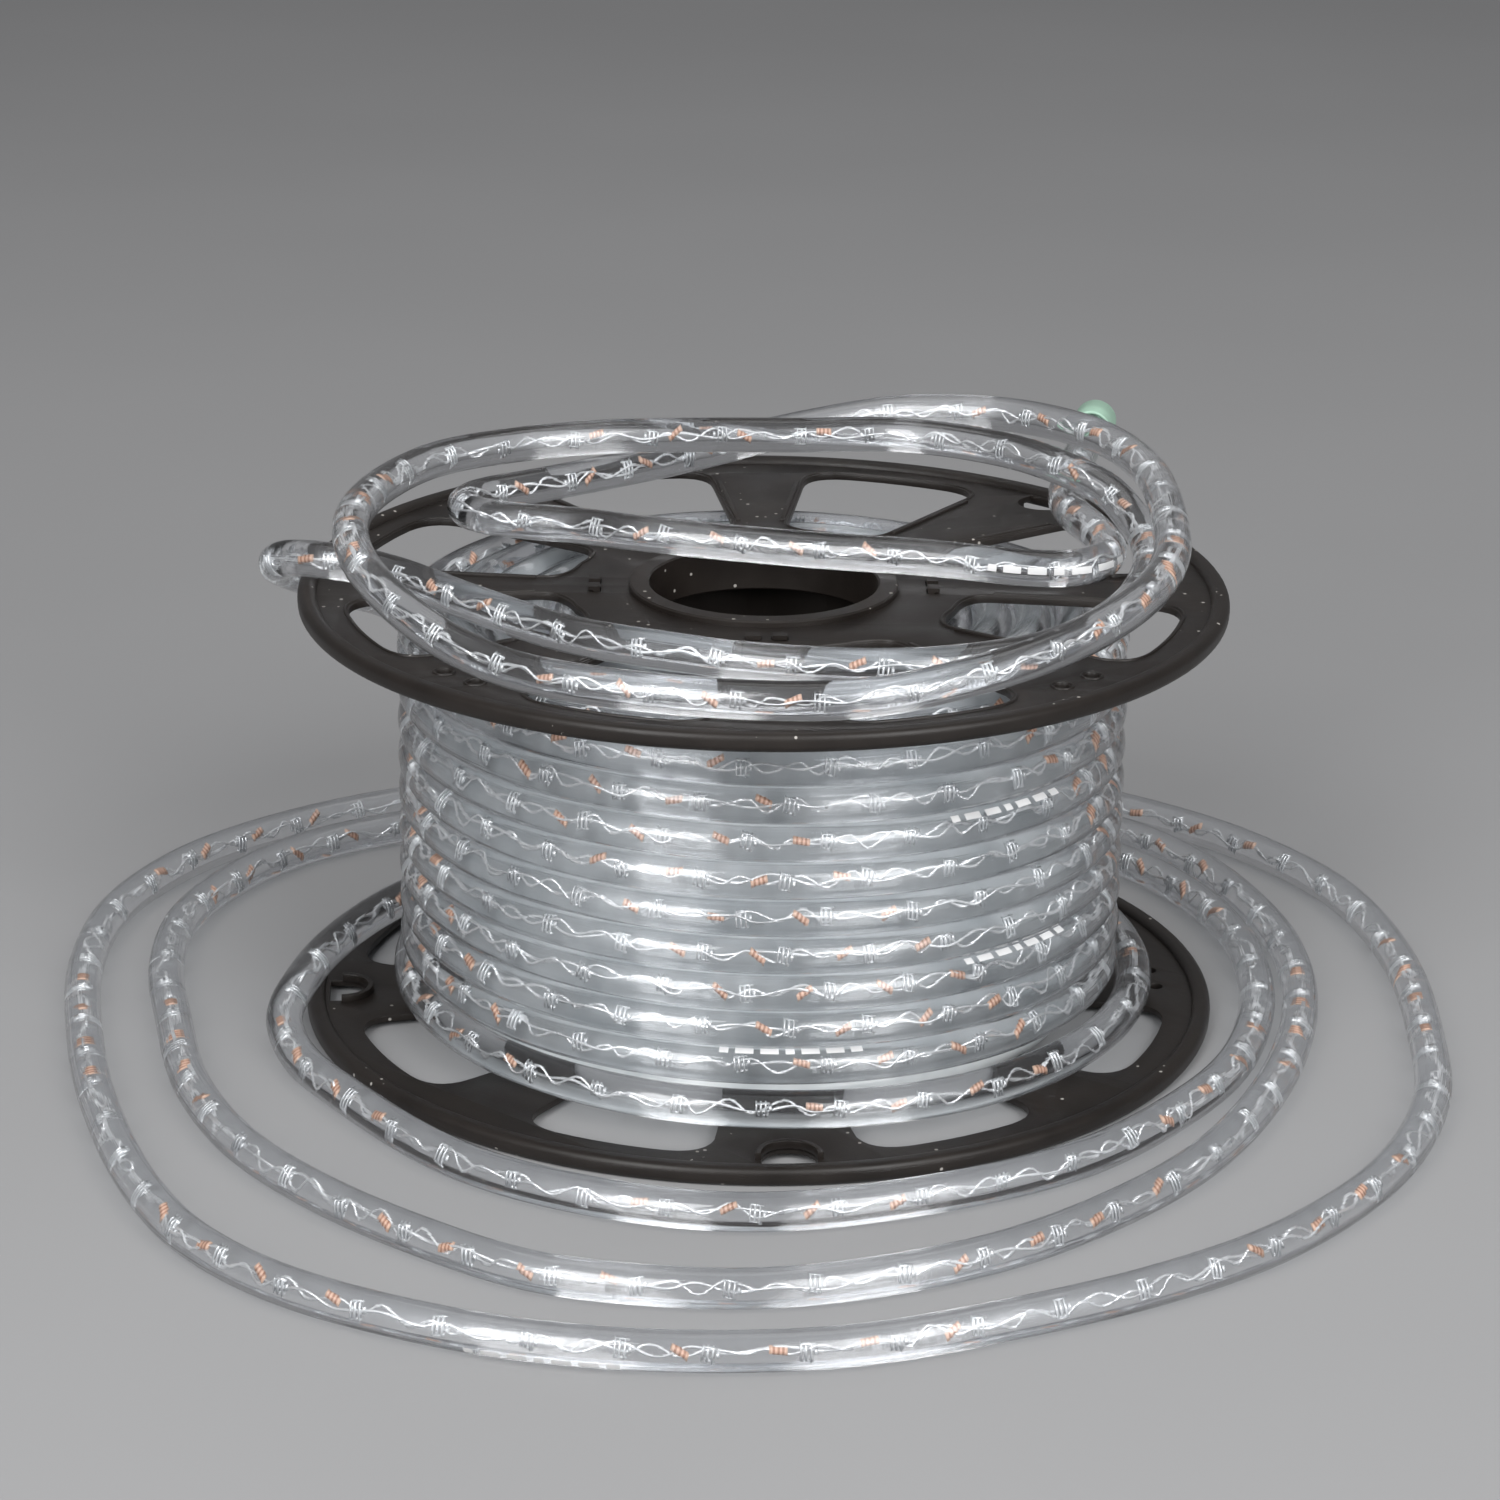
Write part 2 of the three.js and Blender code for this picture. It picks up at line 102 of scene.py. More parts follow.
SPOKES_EACH = 4
HALF_STEP = math.pi / SPOKES_EACH
PLAIN_SPOKES = [2 * HALF_STEP * i for i in range(SPOKES_EACH)]
WIDE_SPOKES = [angle + HALF_STEP for angle in PLAIN_SPOKES]

# The rope's turns on the barrel
ROPE_RADIUS = 0.0065
CORE_RADIUS = 0.0030
CORE_SIDES = 12
BARREL_RADIUS = 0.060
LAYER_PITCH = 0.0137
LAYERS = 5
ROWS = 11
TURN_PITCH = 0.0132
LOW_ROW_HEIGHT = 0.0118
TOP_ROW_HEIGHT = LOW_ROW_HEIGHT + TURN_PITCH * (ROWS - 1)
LOOSE_TURNS = 1.1

# The free rope: three turns round the foot, up behind the reel and round the top flange
ROUTE_MM = [
    (-74, 117, 13), (-98, 98, 13.6), (-118, 76, 14), (-137, 48, 14.5), (-152, 15, 14.5),
    (-161, -18, 14), (-166, -45, 9.8), (-159, -73, 7), (-141, -104, 6.8), (-97, -158, 6.8),
    (-52, -184, 6.8), (-2, -194, 6.8), (54, -180, 6.8), (106, -151, 6.8), (143, -109, 6.8),
    (164, -72, 6.8), (177, -23, 6.8), (179, 19, 6.8), (175, 53, 6.8), (163, 88, 6.8),
    (143, 120, 6.8), (110, 148, 6.8), (60, 168, 6.8), (0, 176, 6.8), (-60, 174, 6.8),
    (-110, 162, 6.8), (-146, 147, 6.8), (-175, 126, 6.8), (-198, 94, 6.8), (-213, 51, 6.8),
    (-214, 5, 6.8), (-205, -45, 6.8), (-192, -99, 6.8), (-171, -145, 6.8), (-144, -180, 6.8),
    (-110, -211, 6.8), (-71, -237, 6.8), (-37, -246, 6.8), (-2, -248, 6.8), (34, -240, 6.8),
    (78, -219, 6.8), (119, -184, 6.8), (149, -146, 6.8), (177, -86, 6.8), (193, -18, 6.8),
    (193, 40, 6.8), (180, 92, 6.8), (164, 126, 6.8), (143, 152, 6.8), (110, 172, 6.8),
    (60, 190, 6.8), (0, 197, 6.8), (-60, 196, 6.8), (-110, 190, 6.8), (-150, 173, 6.8),
    (-188, 146, 6.8), (-218, 112, 6.8), (-239, 62, 6.8), (-243, 6, 6.8), (-234, -60, 6.8),
    (-221, -116, 6.8), (-199, -179, 6.8), (-178, -217, 6.8), (-150, -246, 6.8), (-113, -268, 6.8),
    (-69, -284, 6.8), (-20, -290, 6.8), (29, -285, 6.8), (76, -267, 6.8), (124, -242, 6.8),
    (167, -209, 6.8), (206, -158, 6.8), (228, -101, 6.8), (234, -45, 6.8), (234, 22, 6.8),
    (220, 90, 6.8), (190, 140, 6.8), (155, 173, 6.8), (120, 195, 6.8), (80, 212, 6.8),
    (45, 222, 6.8), (20, 225, 7.4), (0, 225, 9.6), (-20, 225, 11.8), (-55, 217, 22), (-90, 198, 44),
    (-119, 168, 78), (-141, 125, 107), (-155, 85, 125), (-164, 58, 137), (-169, 38, 146),
    (-171.5, 22, 153), (-170.5, 9, 159), (-165, 0, 163), (-156, -6, 164.6), (-142, -10, 164.1),
    (-126, -18, 162.7), (-96, -50, 162.4), (-64, -80, 162.4), (-34, -95, 162.4), (-4, -106, 162.4),
    (35, -111, 162.4), (64, -106, 162.4), (94, -89, 162.4), (119, -52, 162.4), (133, -8, 162.4),
    (136, 24, 163), (133, 46, 166), (123, 64, 173), (106, 81, 176.8), (84, 104, 177),
    (51, 121, 176.5), (13, 121, 176), (-17, 120, 176), (-61, 115, 176), (-92, 103, 176),
    (-118, 82, 176.5), (-135, 46, 177.5), (-143, 0, 178), (-138, -41, 176.5), (-127, -66, 172),
    (-111, -90, 167.2), (-93, -108, 163.6), (-72, -124, 162.5), (-20, -142, 162.3),
    (28, -145, 163.2), (62, -132, 165.5), (95, -111, 169.5), (121, -80, 173.5), (137, -39, 176),
    (142, 24, 176.8), (138, 77, 178), (123, 114, 179.2), (92, 144, 178.5), (53, 154, 176.5),
    (24, 157, 171), (-2, 155, 165.5), (-20, 146, 162.8), (-39, 131, 162.3), (-67, 109, 162.3),
    (-88, 93.5, 162.3), (-101, 84.5, 162.3), (-107.2, 77, 162.3), (-108.8, 68.5, 162.3),
    (-105.5, 60.5, 162.3), (-98, 55, 162.3), (-84, 50, 162.3), (-66, 44, 162.8), (-48, 33, 164),
    (13, 15, 164), (58, 6, 164), (90, 0.5, 162.6), (104, 0.5, 162.3), (114, 5, 162.3),
    (120, 14, 162.3), (122, 27, 162.3), (118.5, 46, 162.3), (112, 70, 162.3), (110.5, 88, 162.6),
    (113, 105, 163.8), (116, 122, 164.6), (121, 146, 165), (125, 168, 165.2), (127.5, 181, 165.4),
]
CAP_GRIP = 0.011
CAP_LENGTH = 0.017
CAP_RADIUS = 0.008

# What is sealed in the rope
LED_SPACING = 0.0278
RESISTOR_AHEAD = 0.009
WIRE_RADIUS = 0.00032


class Run:
    """Points along a line, each with its tangent and the two directions across it."""

    def __init__(self, points, closed=False):
        self.points = np.asarray(points, float)
        self.closed = closed
        ahead = np.roll(self.points, -1, axis=0)
        behind = np.roll(self.points, 1, axis=0)
        if not closed:
            ahead[-1] = self.points[-1]
            behind[0] = self.points[0]
        self.tangents = unit_rows(ahead - behind)
        self.sides = unit_rows(np.cross(self.tangents, [0.0, 0.0, 1.0]))
        self.tops = np.cross(self.sides, self.tangents)
        steps = np.linalg.norm(np.diff(self.points, axis=0), axis=1)
        self.distances = np.concatenate([[0.0], np.cumsum(steps)])
        self.length = float(self.distances[-1])

    def place(self, distance):
        """The point, tangent, side and top at a distance from the start."""
        columns = (self.points, self.tangents, self.sides, self.tops)
        return [
            np.array([np.interp(distance, self.distances, column[:, axis]) for axis in range(3)])
            for column in columns
        ]


def unit_rows(rows):
    return rows / np.linalg.norm(rows, axis=1)[:, None]


def smooth_route(points, step):
    """A smooth line through the points, with each stretch eased by the spacing of its neighbours."""
    places = np.array(points, float)
    first = 2 * places[0] - places[1]
    last = 2 * places[-1] - places[-2]
    padded = np.vstack([first, places, last])
    fine = []
    for before, start, end, after in zip(padded, padded[1:], padded[2:], padded[3:]):
        gap_before = math.sqrt(np.linalg.norm(start - before))
        gap = math.sqrt(np.linalg.norm(end - start))
        gap_after = math.sqrt(np.linalg.norm(after - end))
        leave = (start - before) / gap_before - (end - before) / (gap_before + gap) + (end - start) / gap
        arrive = (end - start) / gap - (after - start) / (gap + gap_after) + (after - end) / gap_after
        leave = leave * gap
        arrive = arrive * gap
        for t in np.linspace(0, 1, 16, endpoint=False):
            square = t * t
            cube = square * t
            fine.append(
                start
                + leave * t
                + (3 * (end - start) - 2 * leave - arrive) * square
                + (2 * (start - end) + leave + arrive) * cube
            )
    fine.append(places[-1])
    fine = np.array(fine)
    along = np.concatenate([[0.0], np.cumsum(np.linalg.norm(np.diff(fine, axis=0), axis=1))])
    even = np.linspace(0, along[-1], int(along[-1] / step) + 1)
    return np.stack([np.interp(even, along, fine[:, axis]) for axis in range(3)], axis=1)


def ease(value):
    t = min(max(value, 0.0), 1.0)
    return t * t * (3 - 2 * t)


def free_rope_run():
    return Run(smooth_route([[v / 1000 for v in point] for point in ROUTE_MM], 0.004))


def winding_run(layer_pitch):
    """The outermost turns, from the top down, with the last one loosening towards the free rope."""
    exit_x, exit_y, exit_z = (v / 1000 for v in ROUTE_MM[0])
    exit_angle = math.atan2(exit_y, exit_x)
    radius = BARREL_RADIUS + layer_pitch * (LAYERS - 0.5)
    spread = math.hypot(exit_x, exit_y) - radius
    points = []
    for i in range(ROWS * 128 + 1):
        turn = i / 128
        angle = exit_angle - 2 * math.pi * (ROWS - turn)
        loose = ease((turn - ROWS + LOOSE_TURNS) / LOOSE_TURNS)
        height = TOP_ROW_HEIGHT - TURN_PITCH * min(max(turn - 0.5, 0), ROWS - 1)
        reach = radius + spread * loose
        points.append(
            (reach * math.cos(angle), reach * math.sin(angle), height + (exit_z - LOW_ROW_HEIGHT) * loose)
        )
    return Run(points)


def ring_run(radius, height):
    angles = np.linspace(0, 2 * math.pi, 120, endpoint=False)
    heights = np.full_like(angles, height)
    return Run(np.stack([radius * np.cos(angles), radius * np.sin(angles), heights], axis=1), closed=True)


# Modelling

def deselect_all():
    if bpy.context.object and bpy.context.object.mode != "OBJECT":
        bpy.ops.object.mode_set(mode="OBJECT")
    bpy.ops.object.select_all(action="DESELECT")


def take_active(name):
    piece = bpy.context.object
    piece.name = name
    piece.data.name = name
    return piece


def apply_place(piece):
    deselect_all()
    piece.select_set(True)
    bpy.context.view_layer.objects.active = piece
    bpy.ops.object.transform_apply(location=True, rotation=True, scale=True)


def join(name, pieces):
    deselect_all()
    for piece in pieces:
        piece.select_set(True)
    bpy.context.view_layer.objects.active = pieces[0]
    if len(pieces) > 1:
        bpy.ops.object.join()
    piece = take_active(name)
    apply_place(piece)
    return piece


def smooth_by_angle(piece, degrees=35):
    deselect_all()
    piece.select_set(True)
    bpy.context.view_layer.objects.active = piece
    bpy.ops.object.shade_smooth_by_angle(angle=math.radians(degrees))


def mesh_piece(name, vertices, faces, uvs=None):
    mesh = bpy.data.meshes.new(name)
    mesh.from_pydata([tuple(v) for v in vertices], [], [tuple(f) for f in faces])
    if uvs is not None:
        layer = mesh.uv_layers.new(name="UVMap")
        layer.data.foreach_set("uv", np.asarray(uvs, float).ravel())
    mesh.polygons.foreach_set("use_smooth", [True] * len(mesh.polygons))
    mesh.update()
    piece = bpy.data.objects.new(name, mesh)
    bpy.context.scene.collection.objects.link(piece)
    return piece


def tube(name, run, radius, sides):
    """A round tube along a run. Its UV map holds the turn about the line, and the metres along it."""
    count = len(run.points)
    spans = count if run.closed else count - 1
    step = run.length / max(count - 1, 1)
    angles = np.arange(sides) * 2 * math.pi / sides
    aside = run.sides[:, None] * np.cos(angles)[None, :, None]
    upward = run.tops[:, None] * np.sin(angles)[None, :, None]
    vertices = (run.points[:, None] + radius * (aside + upward)).reshape(-1, 3)
    faces = []
    uvs = []
    for i in range(spans):
        near = i * sides
        far = (i + 1) % count * sides
        low, high = i * step, (i + 1) * step
        for j in range(sides):
            k = (j + 1) % sides
            left, right = j / sides, (j + 1) / sides
            faces.append((near + j, far + j, far + k, near + k))
            uvs += [(left, low), (left, high), (right, high), (right, low)]
    if not run.closed:
        last = (count - 1) * sides
        faces.append(tuple(range(sides)))
        uvs += [(0.0, 0.0)] * sides
        faces.append(tuple(range(last + sides - 1, last - 1, -1)))
        uvs += [(0.0, run.length)] * sides
    return mesh_piece(name, vertices, faces, uvs)


def revolved(name, outline, segments=144):
    """A ring turned from a closed outline of (radius, height) pairs by spinning it about the spool's axis."""
    deselect_all()
    bpy.ops.mesh.primitive_circle_add(vertices=len(outline), radius=0.01)
    piece = take_active(name)
    for vertex, (radius, height) in zip(piece.data.vertices, outline):
        vertex.co = (radius, 0, height)
    bpy.ops.object.mode_set(mode="EDIT")
    bpy.ops.mesh.select_all(action="SELECT")
    bpy.ops.mesh.spin(steps=segments, angle=2 * math.pi, center=(0, 0, 0), axis=(0, 0, 1))
    bpy.ops.mesh.select_all(action="SELECT")
    bpy.ops.mesh.remove_doubles(threshold=1e-5)
    bpy.ops.mesh.normals_make_consistent(inside=False)
    bpy.ops.object.mode_set(mode="OBJECT")
    apply_place(piece)
    return piece


def flat_plate(name, outlines, low, high, edge=0.0003):
    """A plate between two heights, cut from one outer outline by the others, with softened edges."""
    deselect_all()
    curve = bpy.data.curves.new(name, "CURVE")
    curve.dimensions = "2D"
    curve.fill_mode = "BOTH"
    for outline in outlines:
        spline = curve.splines.new("POLY")
        spline.points.add(len(outline) - 1)
        for point, (x, y) in zip(spline.points, outline):
            point.co = (x, y, 0, 1)
        spline.use_cyclic_u = True
    curve.extrude = (high - low) / 2 - edge
    curve.bevel_depth = edge
    curve.bevel_resolution = 1
    curve.offset = -edge
    piece = bpy.data.objects.new(name, curve)
    bpy.context.scene.collection.objects.link(piece)
    piece.select_set(True)
    bpy.context.view_layer.objects.active = piece
    bpy.ops.object.convert(target="MESH")
    piece = take_active(name)
    piece.location.z = (low + high) / 2
    apply_place(piece)
    bpy.ops.object.mode_set(mode="EDIT")
    bpy.ops.mesh.select_all(action="SELECT")
    bpy.ops.mesh.remove_doubles(threshold=1e-5)
    bpy.ops.mesh.normals_make_consistent(inside=False)
    bpy.ops.object.mode_set(mode="OBJECT")
    return piece


def bead(name, outline, height, radius):
    """A fine round bead along an outline, half sunk in the face that it stands on."""
    deselect_all()
    curve = bpy.data.curves.new(name, "CURVE")
    curve.dimensions = "3D"
    curve.bevel_depth = radius
    curve.bevel_resolution = 2
    spline = curve.splines.new("POLY")
    spline.points.add(len(outline) - 1)
    for point, (x, y) in zip(spline.points, outline):
        point.co = (x, y, height, 1)
    spline.use_cyclic_u = True
    piece = bpy.data.objects.new(name, curve)
    bpy.context.scene.collection.objects.link(piece)
    piece.select_set(True)
    bpy.context.view_layer.objects.active = piece
    bpy.ops.object.convert(target="MESH")
    return take_active(name)


def polar(radius, angle):
    return (radius * math.cos(angle), radius * math.sin(angle))


def circle(radius, count=144):
    return [polar(radius, 2 * math.pi * i / count) for i in range(count)]


def bent(start, corner, end, steps=7):
    """Points of a rounded corner, without its last one."""
    points = []
    for i in range(steps):
        t = i / steps
        points.append(
            tuple((1 - t) ** 2 * a + 2 * t * (1 - t) * b + t * t * c for a, b, c in zip(start, corner, end))
        )
    return points


def window_outline(spoke, side, margin=0.0):
    """A window beside a plain spoke, on the side of its next wide spoke, grown by a margin."""
    low = WINDOW_INNER_RADIUS - margin
    high = WINDOW_OUTER_RADIUS + margin

    def plain_edge(radius):
        return spoke + side * (PLAIN_HALF_SPREAD - margin / radius)

    def wide_edge(radius):
        return spoke + side * (HALF_STEP - WIDE_HALF_SPREAD + margin / radius)

    turn = side * WINDOW_OUTER_CORNER / high
    low_bend = low + WINDOW_INNER_CORNER
    high_bend = high - WINDOW_OUTER_CORNER
    middle = polar(low, (plain_edge(low) + wide_edge(low)) / 2)
    outline = [polar(low_bend, plain_edge(low_bend))]
    outline += bent(polar(high_bend, plain_edge(high_bend)), polar(high, plain_edge(high)),
                    polar(high, plain_edge(high) + turn))
    start = plain_edge(high) + turn
    end = wide_edge(high) - turn
    outline += [polar(high, start + (end - start) * i / 12) for i in range(12)]
    outline += bent(polar(high, end), polar(high, wide_edge(high)), polar(high_bend, wide_edge(high_bend)))
    outline += bent(polar(low_bend, wide_edge(low_bend)), polar(low, wide_edge(low)), middle)
    outline += bent(middle, polar(low, plain_edge(low)), polar(low_bend, plain_edge(low_bend)))
    return outline


def moved_across(distance, spoke, across):
    x, y = polar(distance, spoke)
    return (x - across * math.sin(spoke), y + across * math.cos(spoke))


def round_hole(centre, radius, count=20):
    return [(centre[0] + x, centre[1] + y) for x, y in circle(radius, count)]


def slot_hole(centre, spoke):
    corners = [(-1, -1), (1, -1), (1, 1), (-1, 1)]
    return [
        (
            centre[0] + a * SLOT_ALONG * math.cos(spoke) - b * SLOT_ACROSS * math.sin(spoke),
            centre[1] + a * SLOT_ALONG * math.sin(spoke) + b * SLOT_ACROSS * math.cos(spoke),
        )
        for a, b in corners
    ]


def arch(radius, spoke, legs=0.0, count=16):
    """A half circle across the spoke with its round side towards the hub, and its two legs if it has any."""
    x, y = polar(ARCH_DISTANCE, spoke)
    points = [
        (x + radius * math.cos(spoke + math.pi * (i / count + 0.5)),
         y + radius * math.sin(spoke + math.pi * (i / count + 0.5)))
        for i in range(count + 1)
    ]
    if legs:
        points += [moved_across(ARCH_DISTANCE + legs, spoke, side * radius) for side in (-1, 1)]
    return points


def lip_outline():
    points = []
    for r, z, start in (
        (FLANGE_RADIUS - LIP_WIDTH + LIP_ROUNDING, LIP_ROUNDING, 180),
        (FLANGE_RADIUS - LIP_ROUNDING, LIP_ROUNDING, 270),
        (FLANGE_RADIUS - LIP_ROUNDING, LIP_HEIGHT - LIP_ROUNDING, 0),
        (FLANGE_RADIUS - LIP_WIDTH + LIP_ROUNDING, LIP_HEIGHT - LIP_ROUNDING, 90),
    ):
        for step in range(7):
            angle = math.radians(start + 15 * step)
            points.append((r + LIP_ROUNDING * math.cos(angle), z + LIP_ROUNDING * math.sin(angle)))
    return points


def softened_ring(inner, outer, low, high, edge):
    """The outline of a ring of rectangular section, with small bevels."""
    return [
        (inner + edge, low), (outer - edge, low), (outer, low + edge), (outer, high - edge),
        (outer - edge, high), (inner + edge, high), (inner, high - edge), (inner, low + edge),
    ]


def hub_outline():
    edge = 0.0006
    collar = BORE_RADIUS + COLLAR_WALL
    return [
        (BORE_RADIUS + edge, 0), (HUB_RING_RADIUS - edge, 0), (HUB_RING_RADIUS, edge),
        (HUB_RING_RADIUS, PANEL_INNER_FACE), (collar, PANEL_INNER_FACE), (collar, COLLAR_LENGTH - edge),
        (collar - edge, COLLAR_LENGTH), (BORE_RADIUS + edge, COLLAR_LENGTH),
        (BORE_RADIUS, COLLAR_LENGTH - edge), (BORE_RADIUS, edge),
    ]


def spoke_rib(spoke, half_spread, side):
    start = WINDOW_INNER_RADIUS + WINDOW_INNER_CORNER
    end = WINDOW_OUTER_RADIUS - WINDOW_OUTER_CORNER
    height = RIB_HEIGHT + PANEL_THICKNESS / 2
    offset = -side * (RIB_EDGE_DISTANCE + RIB_WIDTH / 2)
    deselect_all()
    bpy.ops.mesh.primitive_cube_add(size=1, location=((start + end) / 2, offset, PANEL_RECESS - RIB_HEIGHT + height / 2))
    rib = take_active("spoke_rib")
    rib.scale = (end - start, RIB_WIDTH, height)
    apply_place(rib)
    softening = rib.modifiers.new("softening", "BEVEL")
    softening.width = 0.0005
    softening.segments = 2
    bpy.ops.object.modifier_apply(modifier=softening.name)
    rib.rotation_euler.z = spoke + side * half_spread
    apply_place(rib)
    return rib


def build_flange(name, turn_deg, upside_down):
    outlines = [circle(FLANGE_RADIUS - LIP_WIDTH / 2), circle(BORE_RADIUS + COLLAR_WALL / 2)]
    parts = []
    for spoke in PLAIN_SPOKES:
        for side in (1, -1):
            outlines.append(window_outline(spoke, side))
            parts.append(bead("window_bead", window_outline(spoke, side, 0.0011), PANEL_RECESS, 0.0006))
            parts.append(spoke_rib(spoke, PLAIN_HALF_SPREAD, side))
            outlines.append(slot_hole(moved_across(SLOT_DISTANCE, spoke, side * SLOT_SPACING / 2), spoke))
    for index, spoke in enumerate(WIDE_SPOKES):
        for side in (1, -1):
            parts.append(spoke_rib(spoke, WIDE_HALF_SPREAD, side))
        if index < 2:
            outlines.append(arch(ARCH_RADIUS, spoke, ARCH_LEGS))
            wall = arch(ARCH_RADIUS + ARCH_WALL, spoke) + arch(ARCH_RADIUS, spoke)[::-1]
            low = PANEL_RECESS + PANEL_THICKNESS / 2
            parts.append(flat_plate("arch_wall", [wall], low, PANEL_INNER_FACE + ARCH_WALL_HEIGHT))
        else:
            for side in (1, -1):
                hole = moved_across(PIN_HOLE_DISTANCE, spoke, side * PIN_HOLE_SPACING / 2)
                outlines.append(round_hole(hole, PIN_HOLE_RADIUS))
                parts.append(bead("hole_bead", round_hole(hole, PIN_HOLE_RADIUS + 0.0009), PANEL_RECESS, 0.0005))
    parts.append(flat_plate("panel", outlines, PANEL_RECESS, PANEL_INNER_FACE))
    parts.append(revolved("lip", lip_outline()))
    parts.append(revolved("hub", hub_outline()))
    ring = softened_ring(LOCATING_RING_RADIUS - LOCATING_RING_WALL, LOCATING_RING_RADIUS,
                         PANEL_RECESS + PANEL_THICKNESS / 2, LOCATING_RING_TOP, 0.0004)
    parts.append(revolved("locating_ring", ring))
    flange = join(name, parts)
    if upside_down:
        flange.rotation_euler.x = math.pi
        flange.location.z = SPOOL_HEIGHT
        apply_place(flange)
    flange.rotation_euler.z = math.radians(turn_deg)
    apply_place(flange)
    smooth_by_angle(flange)
    return flange


def copies_along(name, template, run, distances, spins, tilts, lifts):
    """Copies of a small piece along a run, each with its own spin about the line, tilt to it and lift off it."""
    base = np.array([vertex.co[:] for vertex in template.data.vertices])
    polygons = [tuple(polygon.vertices) for polygon in template.data.polygons]
    slots = [polygon.material_index for polygon in template.data.polygons]
    vertices = []
    faces = []
    for index, (distance, spin, tilt, lift) in enumerate(zip(distances, spins, tilts, lifts)):
        point, tangent, side, top = run.place(distance)
        along = tangent * math.cos(tilt) + top * math.sin(tilt)
        upright = top * math.cos(tilt) - tangent * math.sin(tilt)
        across = side * math.cos(spin) + upright * math.sin(spin)
        over = upright * math.cos(spin) - side * math.sin(spin)
        centre = point + top * lift
        placed = centre + base[:, :1] * along + base[:, 1:2] * across + base[:, 2:] * over
        vertices.append(placed)
        faces += [tuple(v + index * len(base) for v in polygon) for polygon in polygons]
    piece = mesh_piece(name, np.concatenate(vertices), faces)
    for material in template.data.materials:
        piece.data.materials.append(material)
    piece.data.polygons.foreach_set("material_index", slots * len(distances))
    return piece


# Node groups shared by the materials

def new_group(name, inputs, outputs):
    group = bpy.data.node_groups.new(name, "ShaderNodeTree")
    for label, kind, value in inputs:
        socket = group.interface.new_socket(name=label, in_out="INPUT", socket_type=kind)
        if value is not None:
            socket.default_value = value
    for label, kind in outputs:
        group.interface.new_socket(name=label, in_out="OUTPUT", socket_type=kind)
    entry = group.nodes.new("NodeGroupInput")
    leave = group.nodes.new("NodeGroupOutput")
    return group, entry, leave


def add_math(nodes, links, operation, first, second):
    node = nodes.new("ShaderNodeMath")
    node.operation = operation
    for socket, value in zip(node.inputs, (first, second)):
        if isinstance(value, (int, float)):
            socket.default_value = value
        else:
            links.new(value, socket)
    return node.outputs[0]


def handling_marks_group():
    """Fine scuffs and dust on moulded plastic: a mask of dust, a roughness and a height."""
    existing = bpy.data.node_groups.get("handling_marks")
    if existing:
        return existing
    group, entry, leave = new_group(
        "handling_marks",
        [("Position", "NodeSocketVector", None), ("Roughness", "NodeSocketFloat", 0.45),
         ("Dust", "NodeSocketFloat", 0.5)],
        [("Dust Mask", "NodeSocketFloat"), ("Roughness", "NodeSocketFloat"), ("Height", "NodeSocketFloat"),
         ("Patches", "NodeSocketFloat")],
    )
    nodes, links = group.nodes, group.links
    patches = nodes.new("ShaderNodeTexNoise")
    patches.inputs["Scale"].default_value = 38
    patches.inputs["Detail"].default_value = 5
    grain = nodes.new("ShaderNodeTexNoise")
    grain.inputs["Scale"].default_value = 1400
    grain.inputs["Detail"].default_value = 2
    specks = nodes.new("ShaderNodeTexVoronoi")
    specks.inputs["Scale"].default_value = 210
    for texture in (patches, grain, specks):
        links.new(entry.outputs["Position"], texture.inputs["Vector"])
    near = add_math(nodes, links, "LESS_THAN", specks.outputs["Distance"], 0.13)
    chosen = add_math(nodes, links, "GREATER_THAN", patches.outputs["Fac"], 0.56)
    dust = add_math(nodes, links, "MULTIPLY", near, chosen)
    links.new(add_math(nodes, links, "MULTIPLY", dust, entry.outputs["Dust"]), leave.inputs["Dust Mask"])
    swing = add_math(nodes, links, "MULTIPLY_ADD", patches.outputs["Fac"], 0.36)
    swing.node.inputs[2].default_value = -0.18
    links.new(add_math(nodes, links, "ADD", entry.outputs["Roughness"], swing), leave.inputs["Roughness"])
    links.new(grain.outputs["Fac"], leave.inputs["Height"])
    links.new(patches.outputs["Fac"], leave.inputs["Patches"])
    return group


